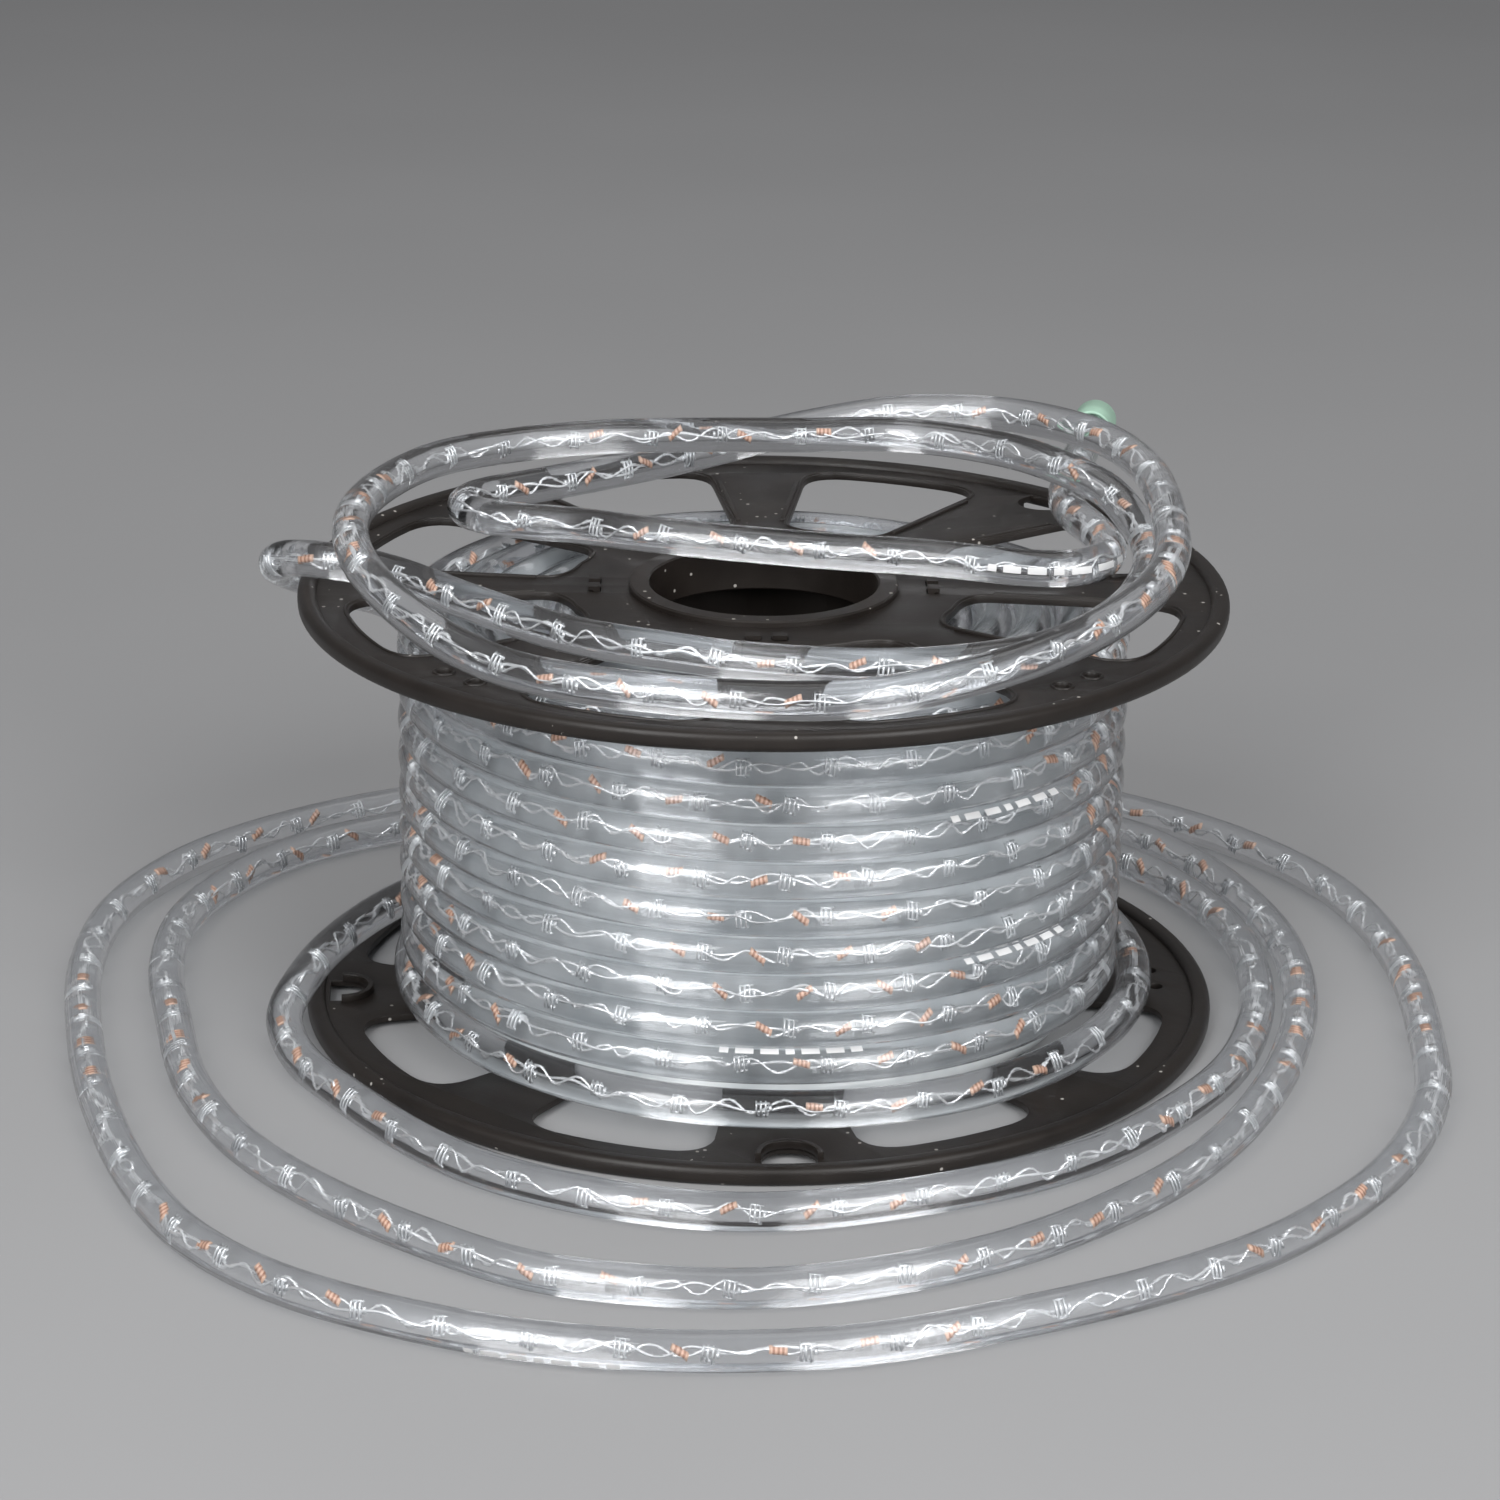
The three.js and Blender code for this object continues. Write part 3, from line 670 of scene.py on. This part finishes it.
def extrusion_lines_group():
    """Long fine lines that an extruder leaves, from a UV map of turn and metres."""
    existing = bpy.data.node_groups.get("extrusion_lines")
    if existing:
        return existing
    group, entry, leave = new_group(
        "extrusion_lines",
        [("Along", "NodeSocketVector", None), ("Roughness", "NodeSocketFloat", 0.06)],
        [("Height", "NodeSocketFloat"), ("Roughness", "NodeSocketFloat"), ("Streaks", "NodeSocketFloat")],
    )
    nodes, links = group.nodes, group.links
    parts = nodes.new("ShaderNodeSeparateXYZ")
    links.new(entry.outputs["Along"], parts.inputs[0])
    turn = add_math(nodes, links, "MULTIPLY", parts.outputs["X"], 2 * math.pi)
    cosine = add_math(nodes, links, "COSINE", turn, 0)
    sine = add_math(nodes, links, "SINE", turn, 0)
    stretched = nodes.new("ShaderNodeCombineXYZ")
    links.new(cosine, stretched.inputs["X"])
    links.new(sine, stretched.inputs["Y"])
    links.new(add_math(nodes, links, "MULTIPLY", parts.outputs["Y"], 1.2), stretched.inputs["Z"])
    lines = nodes.new("ShaderNodeTexNoise")
    lines.inputs["Scale"].default_value = 7
    lines.inputs["Detail"].default_value = 3
    links.new(stretched.outputs[0], lines.inputs["Vector"])
    links.new(lines.outputs["Fac"], leave.inputs["Height"])
    links.new(lines.outputs["Fac"], leave.inputs["Streaks"])
    swing = add_math(nodes, links, "MULTIPLY", lines.outputs["Fac"], 0.05)
    links.new(add_math(nodes, links, "ADD", entry.outputs["Roughness"], swing), leave.inputs["Roughness"])
    return group


def start_material(name):
    material = bpy.data.materials.new(name)
    material.use_nodes = True
    material.node_tree.nodes.clear()
    nodes, links = material.node_tree.nodes, material.node_tree.links
    shader = nodes.new("ShaderNodeBsdfPrincipled")
    output = nodes.new("ShaderNodeOutputMaterial")
    links.new(shader.outputs[0], output.inputs["Surface"])
    return material, nodes, links, shader, output


def place_group(nodes, group, **values):
    node = nodes.new("ShaderNodeGroup")
    node.node_tree = group
    for label, value in values.items():
        node.inputs[label].default_value = value
    return node


def tinted(nodes, links, low, high, factor):
    """A colour between two, following a factor."""
    ramp = nodes.new("ShaderNodeValToRGB")
    ramp.color_ramp.elements[0].position = 0.35
    ramp.color_ramp.elements[0].color = (*low, 1)
    ramp.color_ramp.elements[1].position = 0.65
    ramp.color_ramp.elements[1].color = (*high, 1)
    links.new(factor, ramp.inputs["Fac"])
    return ramp.outputs["Color"]


def moulded_plastic(name, color, roughness, dust, grain):
    material, nodes, links, shader, _ = start_material(name)
    position = nodes.new("ShaderNodeTexCoord").outputs["Object"]
    marks = place_group(nodes, handling_marks_group(), Roughness=roughness, Dust=dust)
    links.new(position, marks.inputs["Position"])
    dark = tuple(v * 0.8 for v in color)
    light = tuple(min(v * 1.25, 1) for v in color)
    base = tinted(nodes, links, dark, light, marks.outputs["Patches"])
    dusted = nodes.new("ShaderNodeMix")
    dusted.data_type = "RGBA"
    links.new(marks.outputs["Dust Mask"], dusted.inputs["Factor"])
    links.new(base, dusted.inputs["A"])
    dusted.inputs["B"].default_value = (0.55, 0.52, 0.48, 1)
    links.new(dusted.outputs["Result"], shader.inputs["Base Color"])
    links.new(marks.outputs["Roughness"], shader.inputs["Roughness"])
    shader.inputs["Specular IOR Level"].default_value = 0.38
    bump = nodes.new("ShaderNodeBump")
    bump.inputs["Strength"].default_value = grain
    bump.inputs["Distance"].default_value = 0.0002
    links.new(marks.outputs["Height"], bump.inputs["Height"])
    links.new(bump.outputs["Normal"], shader.inputs["Normal"])
    return material


def clear_plastic(name, tint, roughness, ior, line_depth):
    """Clear plastic, which lets most light through to what lies in it and under it."""
    material, nodes, links, shader, output = start_material(name)
    uv = nodes.new("ShaderNodeTexCoord").outputs["UV"]
    lines = place_group(nodes, extrusion_lines_group(), Roughness=roughness)
    links.new(uv, lines.inputs["Along"])
    shader.inputs["Base Color"].default_value = (*tint, 1)
    shader.inputs["Transmission Weight"].default_value = 1
    shader.inputs["IOR"].default_value = ior
    links.new(lines.outputs["Roughness"], shader.inputs["Roughness"])
    bump = nodes.new("ShaderNodeBump")
    bump.inputs["Strength"].default_value = line_depth
    bump.inputs["Distance"].default_value = 0.0005
    links.new(lines.outputs["Height"], bump.inputs["Height"])
    links.new(bump.outputs["Normal"], shader.inputs["Normal"])
    pass_light(nodes, links, shader, output, (0.86, 0.87, 0.88))
    return material


def pass_light(nodes, links, shader, output, share):
    """Lets the lamps' light and soft light straight through, in place of a full shadow."""
    see_through = nodes.new("ShaderNodeBsdfTransparent")
    see_through.inputs["Color"].default_value = (*share, 1)
    rays = nodes.new("ShaderNodeLightPath")
    mix = nodes.new("ShaderNodeMixShader")
    soft = add_math(nodes, links, "MAXIMUM", rays.outputs["Is Shadow Ray"], rays.outputs["Is Diffuse Ray"])
    links.new(soft, mix.inputs[0])
    links.new(shader.outputs[0], mix.inputs[1])
    links.new(see_through.outputs[0], mix.inputs[2])
    links.new(mix.outputs[0], output.inputs["Surface"])


def silvery_core(name, tint, roughness, cover):
    """The near side of the core's skin, whose fine lengthwise lines spread a highlight across it."""
    material, nodes, links, shader, _ = start_material(name)
    uv = nodes.new("ShaderNodeTexCoord").outputs["UV"]
    lines = place_group(nodes, extrusion_lines_group(), Roughness=roughness)
    links.new(uv, lines.inputs["Along"])
    around = nodes.new("ShaderNodeTangent")
    around.direction_type = "UV_MAP"
    around.uv_map = "UVMap"
    links.new(around.outputs[0], shader.inputs["Tangent"])
    low = tuple(v * 0.85 for v in tint)
    links.new(tinted(nodes, links, low, tint, lines.outputs["Streaks"]), shader.inputs["Base Color"])
    links.new(lines.outputs["Roughness"], shader.inputs["Roughness"])
    shader.inputs["Metallic"].default_value = 1
    shader.inputs["Anisotropic"].default_value = 0.95
    far_side = nodes.new("ShaderNodeNewGeometry").outputs["Backfacing"]
    near_side = add_math(nodes, links, "LESS_THAN", far_side, 0.5)
    links.new(add_math(nodes, links, "MULTIPLY", near_side, cover), shader.inputs["Alpha"])
    return material


def inner_turns_pvc(name, low, high):
    """The turns under the outer ones, where many layers of clear PVC read as one pale cloudy mass."""
    material, nodes, links, shader, _ = start_material(name)
    position = nodes.new("ShaderNodeTexCoord").outputs["Object"]
    marks = place_group(nodes, handling_marks_group(), Roughness=0.16, Dust=0.0)
    links.new(position, marks.inputs["Position"])
    links.new(tinted(nodes, links, low, high, marks.outputs["Patches"]), shader.inputs["Base Color"])
    links.new(marks.outputs["Roughness"], shader.inputs["Roughness"])
    return material


def plain_finish(name, color, roughness, metallic=0.0):
    material, nodes, links, shader, _ = start_material(name)
    position = nodes.new("ShaderNodeTexCoord").outputs["Object"]
    marks = place_group(nodes, handling_marks_group(), Roughness=roughness, Dust=0.0)
    links.new(position, marks.inputs["Position"])
    low = tuple(v * 0.88 for v in color)
    high = tuple(min(v * 1.1, 1) for v in color)
    links.new(tinted(nodes, links, low, high, marks.outputs["Patches"]), shader.inputs["Base Color"])
    links.new(marks.outputs["Roughness"], shader.inputs["Roughness"])
    shader.inputs["Metallic"].default_value = metallic
    return material


def once(name, make, *values):
    return bpy.data.materials.get(name) or make(name, *values)


def spool_plastic():
    color = tuple(bpy.context.scene.reel_spool.color)
    return once("spool_plastic_moulded", moulded_plastic, color, 0.42, 0.8, 0.25)


def rope_core(name, run):
    core = tube(name, run, CORE_RADIUS, CORE_SIDES)
    core.visible_shadow = False
    core.visible_diffuse = False
    core.visible_glossy = False
    finish_piece(core, [once("rope_core_skin", silvery_core, (0.92, 0.94, 0.96), 0.36, 0.11)])


def rope_plastic():
    return once("rope_clear_pvc", clear_plastic, tuple(bpy.context.scene.reel_rope.tint), 0.01, 1.47, 0.2)


# Settings that a user would change

class ReelSpoolSettings(bpy.types.PropertyGroup):
    color: bpy.props.FloatVectorProperty(
        name="Plastic", description="Colour of the spool's plastic", subtype="COLOR", default=(0.016, 0.0125, 0.0105),
        min=0, max=1,
    )


class ReelRopeSettings(bpy.types.PropertyGroup):
    tint: bpy.props.FloatVectorProperty(
        name="Tint", description="Tint of the clear PVC", subtype="COLOR", default=(0.97, 0.98, 1.0), min=0, max=1,
    )
    cap_color: bpy.props.FloatVectorProperty(
        name="End cap", description="Colour of the end cap", subtype="COLOR", default=(0.46, 0.70, 0.55),
        min=0, max=1,
    )
    sides: bpy.props.IntProperty(name="Sides", description="Faces round the rope", default=20, min=8, max=48)
    led_spacing: bpy.props.FloatProperty(
        name="LED spacing", description="Distance from one LED to the next", default=LED_SPACING, unit="LENGTH",
    )


class ReelStageSettings(bpy.types.PropertyGroup):
    floor_color: bpy.props.FloatVectorProperty(
        name="Floor", description="Colour of the floor", subtype="COLOR", default=(0.38, 0.38, 0.385), min=0, max=1,
    )
    key_power: bpy.props.FloatProperty(
        name="Key light", description="Power of each front softbox", default=42, unit="POWER",
    )
    fill_power: bpy.props.FloatProperty(
        name="Fill light", description="Power of the softbox overhead", default=8, unit="POWER",
    )


def finish_piece(piece, materials):
    for material in materials:
        piece.data.materials.append(material)
    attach(piece, BODY)


class REEL_OT_stage(bpy.types.Operator):
    """Adds the camera, the floor and the soft studio lights"""

    bl_idname = "reel.stage"
    bl_label = "Stage"

    def execute(self, context):
        settings = context.scene.reel_stage
        camera_data = bpy.data.cameras.new("photo_camera")
        camera_data.lens = LENS
        camera_data.sensor_width = SENSOR
        camera_data.clip_end = 50
        camera = bpy.data.objects.new("photo_camera", camera_data)
        context.scene.collection.objects.link(camera)
        tilt = Matrix.Rotation(math.radians(90 - CAMERA_DOWN_DEG), 4, "X")
        roll = Matrix.Rotation(math.radians(CAMERA_ROLL_DEG), 4, "Z")
        camera.matrix_world = Matrix.Translation(CAMERA_PLACE) @ tilt @ roll
        context.scene.camera = camera

        deselect_all()
        bpy.ops.mesh.primitive_plane_add(size=24, location=(0, 6, 0))
        floor = take_active("floor")
        apply_place(floor)
        material, nodes, links, shader, _ = start_material("floor_paper")
        noise = nodes.new("ShaderNodeTexNoise")
        noise.inputs["Scale"].default_value = 3
        links.new(nodes.new("ShaderNodeTexCoord").outputs["Object"], noise.inputs["Vector"])
        color = tuple(settings.floor_color)
        low = tuple(v * 0.97 for v in color)
        links.new(tinted(nodes, links, low, color, noise.outputs["Fac"]), shader.inputs["Base Color"])
        shader.inputs["Roughness"].default_value = 0.9
        floor.data.materials.append(material)

        self.add_softbox(context, "left_softbox", (-1.0, -1.85, 1.45), 0.95, 1.8, settings.key_power)
        self.add_softbox(context, "right_softbox", (1.2, -1.75, 1.45), 1.15, 1.8, settings.key_power)
        self.add_softbox(context, "overhead_softbox", (0.0, 0.9, 2.4), 1.6, 1.2, settings.fill_power)

        world = bpy.data.worlds.new("studio")
        world.use_nodes = True
        background = world.node_tree.nodes["Background"]
        background.inputs["Color"].default_value = (0.98, 0.98, 1.0, 1)
        background.inputs["Strength"].default_value = 0.2
        context.scene.world = world
        context.scene.view_settings.view_transform = "Standard"
        return {"FINISHED"}

    def add_softbox(self, context, name, place, width, height, power):
        light = bpy.data.lights.new(name, "AREA")
        light.shape = "RECTANGLE"
        light.size = width
        light.size_y = height
        light.energy = power
        lamp = bpy.data.objects.new(name, light)
        context.scene.collection.objects.link(lamp)
        lamp.location = place
        aim = Vector((0, 0, 0.08)) - Vector(place)
        lamp.rotation_euler = aim.to_track_quat("-Z", "Y").to_euler()


class REEL_OT_spool(bpy.types.Operator):
    """Adds both moulded flanges and gives the barrel its plastic"""

    bl_idname = "reel.spool"
    bl_label = "Spool"

    def execute(self, context):
        bottom = build_flange("flange_bottom", BOTTOM_TURN_DEG, False)
        finish_piece(bottom, [spool_plastic()])
        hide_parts("bottom_flange")
        top = build_flange("flange_top", TOP_TURN_DEG, True)
        finish_piece(top, [spool_plastic()])
        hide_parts("top_flange")
        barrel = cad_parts["barrel"]
        barrel.data.materials.clear()
        barrel.data.materials.append(spool_plastic())
        return {"FINISHED"}


class REEL_OT_winding(bpy.types.Operator):
    """Adds the rope's turns on the barrel: the clear outer ones, the top ends of the inner ones, and the mass"""

    bl_idname = "reel.winding"
    bl_label = "Winding"

    def execute(self, context):
        sides = context.scene.reel_rope.sides
        turns = tube("wound_turns", winding_run(LAYER_PITCH), ROPE_RADIUS, sides)
        finish_piece(turns, [rope_plastic()])
        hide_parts("rope_winding")
        rope_core("wound_core", winding_run(LAYER_PITCH))
        rings = [
            tube("top_turn", ring_run(BARREL_RADIUS + LAYER_PITCH * (layer + 0.5), TOP_ROW_HEIGHT), ROPE_RADIUS, sides)
            for layer in range(LAYERS - 1)
        ]
        top_turns = join("top_turns", rings)
        finish_piece(top_turns, [rope_plastic()])
        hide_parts("rope_inner_turns")
        inner = revolved("inner_turns", self.inner_outline(), 96)
        smooth_by_angle(inner, 60)
        mass = once("inner_turns_pvc", inner_turns_pvc, (0.52, 0.55, 0.56), (0.74, 0.76, 0.76))
        finish_piece(inner, [mass])
        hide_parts("rope_inner_turns")
        return {"FINISHED"}

    def inner_outline(self):
        reach = BARREL_RADIUS + LAYER_PITCH * (LAYERS - 1)
        low = LOW_ROW_HEIGHT - ROPE_RADIUS
        outline = [(BARREL_RADIUS + 0.0004, low)]
        for row in range(ROWS - 1):
            middle = LOW_ROW_HEIGHT + TURN_PITCH * row
            for slope in (-80, -40, 0, 40, 80):
                angle = math.radians(slope)
                outline.append((reach - ROPE_RADIUS * (1 - math.cos(angle)), middle + ROPE_RADIUS * math.sin(angle)))
        top = TOP_ROW_HEIGHT - ROPE_RADIUS - 0.0004
        for layer in range(LAYERS - 2, -1, -1):
            middle = BARREL_RADIUS + LAYER_PITCH * (layer + 0.5)
            for slope in (60, 0, -60):
                angle = math.radians(slope)
                outline.append((middle + ROPE_RADIUS * math.sin(angle), top - ROPE_RADIUS * (1 - math.cos(angle))))
        outline.append((BARREL_RADIUS + 0.0004, top - ROPE_RADIUS))
        return outline


class REEL_OT_free_rope(bpy.types.Operator):
    """Adds the loose rope and its end cap"""

    bl_idname = "reel.free_rope"
    bl_label = "Free rope"

    def execute(self, context):
        settings = context.scene.reel_rope
        run = free_rope_run()
        rope = tube("free_rope", run, ROPE_RADIUS, settings.sides)
        finish_piece(rope, [rope_plastic()])
        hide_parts("rope_on_floor", "rope_on_top")
        rope_core("free_core", run)
        cap = self.end_cap(run)
        rubbery = once("cap_soft_pvc", moulded_plastic, tuple(settings.cap_color), 0.5, 0.1, 0.15)
        finish_piece(cap, [rubbery])
        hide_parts("end_cap")
        return {"FINISHED"}

    def end_cap(self, run):
        deselect_all()
        bpy.ops.mesh.primitive_cylinder_add(vertices=48, radius=CAP_RADIUS, depth=CAP_LENGTH)
        cap = take_active("rope_end_cap")
        bpy.ops.object.mode_set(mode="EDIT")
        bpy.ops.mesh.select_all(action="DESELECT")
        bpy.ops.object.mode_set(mode="OBJECT")
        for polygon in cap.data.polygons:
            polygon.select = polygon.normal.z < -0.9
        bpy.ops.object.mode_set(mode="EDIT")
        bpy.ops.mesh.inset(thickness=CAP_RADIUS - ROPE_RADIUS - 0.0003)
        bpy.ops.mesh.extrude_region_move(TRANSFORM_OT_translate={"value": (0, 0, CAP_GRIP + 0.0003)})
        bpy.ops.object.mode_set(mode="OBJECT")
        softening = cap.modifiers.new("softening", "BEVEL")
        softening.width = 0.0009
        softening.segments = 3
        softening.limit_method = "ANGLE"
        bpy.ops.object.modifier_apply(modifier=softening.name)
        direction = Vector(run.tangents[-1])
        end = Vector(run.points[-1])
        cap.rotation_mode = "QUATERNION"
        cap.rotation_quaternion = direction.to_track_quat("Z", "Y")
        cap.location = end + direction * (CAP_LENGTH / 2 - CAP_GRIP)
        apply_place(cap)
        smooth_by_angle(cap)
        return cap


class REEL_OT_lights_in_rope(bpy.types.Operator):
    """Adds the LEDs, resistors and wires sealed in the rope, and the dashes printed on it"""

    bl_idname = "reel.lights_in_rope"
    bl_label = "Lights in the rope"

    def execute(self, context):
        runs = {
            "winding": winding_run(LAYER_PITCH),
            "free": free_rope_run(),
        }
        led = self.led_template()
        resistor = self.resistor_template()
        spacing = context.scene.reel_rope.led_spacing
        dice = random.Random(7)
        for place, run in runs.items():
            count = int((run.length - 0.03) / spacing)
            led_places = [0.016 + spacing * i + dice.uniform(-0.0015, 0.0015) for i in range(count)]
            led_spins = [dice.uniform(-0.6, 0.6) for _ in led_places]
            led_tilts = [dice.uniform(-0.2, 0.2) for _ in led_places]
            led_lifts = [dice.uniform(-0.0006, 0.0003) for _ in led_places]
            leds = copies_along(f"leds_{place}", led, run, led_places, led_spins, led_tilts, led_lifts)
            finish_piece(leds, [])
            resistor_places = [d - RESISTOR_AHEAD for i, d in enumerate(led_places) if i % 7 < 4]
            resistor_spins = [dice.uniform(0, 2 * math.pi) for _ in resistor_places]
            resistor_tilts = [dice.choice((-1, 1)) * dice.uniform(0.05, 0.6) for _ in resistor_places]
            resistor_lifts = [dice.uniform(-0.0006, 0.0010) for _ in resistor_places]
            resistors = copies_along(
                f"resistors_{place}", resistor, run, resistor_places, resistor_spins, resistor_tilts, resistor_lifts
            )
            finish_piece(resistors, [])
            tin = once("tinned_wire", plain_finish, (0.86, 0.87, 0.88), 0.3, 0.55)
            for number, (knot_gap, swing) in enumerate(((0.0085, 0.0020), (0.0125, 0.0013))):
                wire = self.wire(f"wire_{place}_{number + 1}", run, knot_gap, swing, dice)
                finish_piece(wire, [tin])
        for template in (led, resistor):
            bpy.data.objects.remove(template)
        white = once("printed_white", plain_finish, (0.86, 0.86, 0.86), 0.6)
        dashes = join("printed_dashes", [
            self.dashes(runs["winding"], 2.670, 52),
            self.dashes(runs["winding"], 5.735, 60),
            self.dashes(runs["winding"], 7.180, 68),
            self.dashes(runs["free"], 3.055, -32),
            self.dashes(runs["free"], 6.165, 8),
        ])
        finish_piece(dashes, [white])
        return {"FINISHED"}

    def led_template(self):
        """The bright bars of an LED's lead frame, with its cup."""
        parts = []
        for place, size in (
            ((-0.0023, 0, 0.0001), (0.0005, 0.0018, 0.0038)),
            ((-0.0008, 0, 0), (0.0007, 0.0020, 0.0034)),
            ((0.0008, 0, -0.0001), (0.0005, 0.0018, 0.0040)),
            ((0.0023, 0, 0), (0.0010, 0.0012, 0.0012)),
            ((-0.0002, 0, 0.0019), (0.0046, 0.0006, 0.0003)),
            ((-0.0004, 0, -0.0019), (0.0042, 0.0006, 0.0003)),
        ):
            deselect_all()
            bpy.ops.mesh.primitive_cube_add(size=1, location=place)
            bar = take_active("led_bar")
            bar.scale = size
            apply_place(bar)
            parts.append(bar)
        led = join("led_template", parts)
        led.data.materials.append(once("led_frame", plain_finish, (0.88, 0.90, 0.92), 0.26, 0.5))
        return led

    def resistor_template(self):
        deselect_all()
        bpy.ops.mesh.primitive_cylinder_add(vertices=8, radius=0.0009, depth=0.0055, end_fill_type="NGON")
        resistor = take_active("resistor_template")
        resistor.rotation_euler.y = math.pi / 2
        apply_place(resistor)
        bpy.ops.object.mode_set(mode="EDIT")
        for x in (-0.0018, -0.0011, -0.0003, 0.0004, 0.0011, 0.0018):
            bpy.ops.mesh.select_all(action="SELECT")
            bpy.ops.mesh.bisect(plane_co=(x, 0, 0), plane_no=(1, 0, 0))
        bpy.ops.object.mode_set(mode="OBJECT")
        resistor.data.materials.append(once("resistor_tan", plain_finish, (0.80, 0.52, 0.38), 0.4))
        resistor.data.materials.append(once("resistor_bands", plain_finish, (0.45, 0.21, 0.13), 0.4))
        for polygon in resistor.data.polygons:
            x = abs(polygon.center.x)
            polygon.material_index = 1 if 0.0011 < x < 0.0018 or x < 0.0001 else 0
        return resistor

    def wire(self, name, run, knot_gap, swing, dice):
        """A thin wire that crosses the rope's middle from side to side, between knots set at random."""
        count = int(run.length / knot_gap)
        knots = [knot_gap * (i + dice.uniform(-0.3, 0.3)) for i in range(count + 2)]
        lifts = [swing * dice.uniform(0.25, 1.0) * (-1) ** i for i in range(count + 2)]
        asides = [dice.uniform(-0.0011, 0.0011) for _ in knots]
        distances = np.linspace(0.004, run.length - 0.004, int(run.length / 0.0018))
        points = []
        for distance in distances:
            i = int(np.searchsorted(knots, distance)) - 1
            i = min(max(i, 0), count)
            blend = ease((distance - knots[i]) / (knots[i + 1] - knots[i]))
            point, _, side, top = run.place(distance)
            lift = lifts[i] + (lifts[i + 1] - lifts[i]) * blend
            aside = asides[i] + (asides[i + 1] - asides[i]) * blend
            points.append(point + side * aside + top * lift)
        return tube(name, Run(points), WIRE_RADIUS, 5)

    def dashes(self, run, start, lean_deg):
        """A short row of plain dashes on the rope's skin, leaning from level towards its top."""
        vertices = []
        faces = []
        for length in (0.003, 0.006, 0.006, 0.003, 0.006, 0.006, 0.004):
            for i in range(5):
                point, _, side, top = run.place(start + length * i / 4)
                for j in range(4):
                    angle = math.radians(lean_deg + 22 * (j / 3 - 0.5))
                    out = side * math.cos(angle) + top * math.sin(angle)
                    vertices.append(point + out * (ROPE_RADIUS + 0.00004))
            base = len(vertices) - 20
            for i in range(4):
                for j in range(3):
                    corner = base + i * 4 + j
                    faces.append((corner, corner + 4, corner + 5, corner + 1))
            start += length + 0.0022
        return mesh_piece("dash_row", vertices, faces)


class REEL_PT_panel(bpy.types.Panel):
    bl_label = "Rope Reel"
    bl_idname = "REEL_PT_panel"
    bl_space_type = "VIEW_3D"
    bl_region_type = "UI"
    bl_category = "Rope Reel"

    def draw(self, context):
        layout = self.layout
        for operator in OPERATORS:
            layout.operator(operator.bl_idname)
        scene = context.scene
        for settings in (scene.reel_spool, scene.reel_rope, scene.reel_stage):
            box = layout.box()
            for label in settings.__annotations__:
                box.prop(settings, label)


OPERATORS = (REEL_OT_stage, REEL_OT_free_rope, REEL_OT_winding, REEL_OT_spool, REEL_OT_lights_in_rope)
CLASSES = (ReelSpoolSettings, ReelRopeSettings, ReelStageSettings, *OPERATORS, REEL_PT_panel)


def register():
    for item in CLASSES:
        bpy.utils.register_class(item)
    bpy.types.Scene.reel_spool = bpy.props.PointerProperty(type=ReelSpoolSettings)
    bpy.types.Scene.reel_rope = bpy.props.PointerProperty(type=ReelRopeSettings)
    bpy.types.Scene.reel_stage = bpy.props.PointerProperty(type=ReelStageSettings)


def unregister():
    del bpy.types.Scene.reel_stage
    del bpy.types.Scene.reel_rope
    del bpy.types.Scene.reel_spool
    for item in reversed(CLASSES):
        bpy.utils.unregister_class(item)


def main():
    register()
    bpy.ops.reel.stage()
    bpy.ops.reel.free_rope()
    bpy.ops.reel.winding()
    bpy.ops.reel.spool()
    bpy.ops.reel.lights_in_rope()


if __name__ == "__main__":
    main()
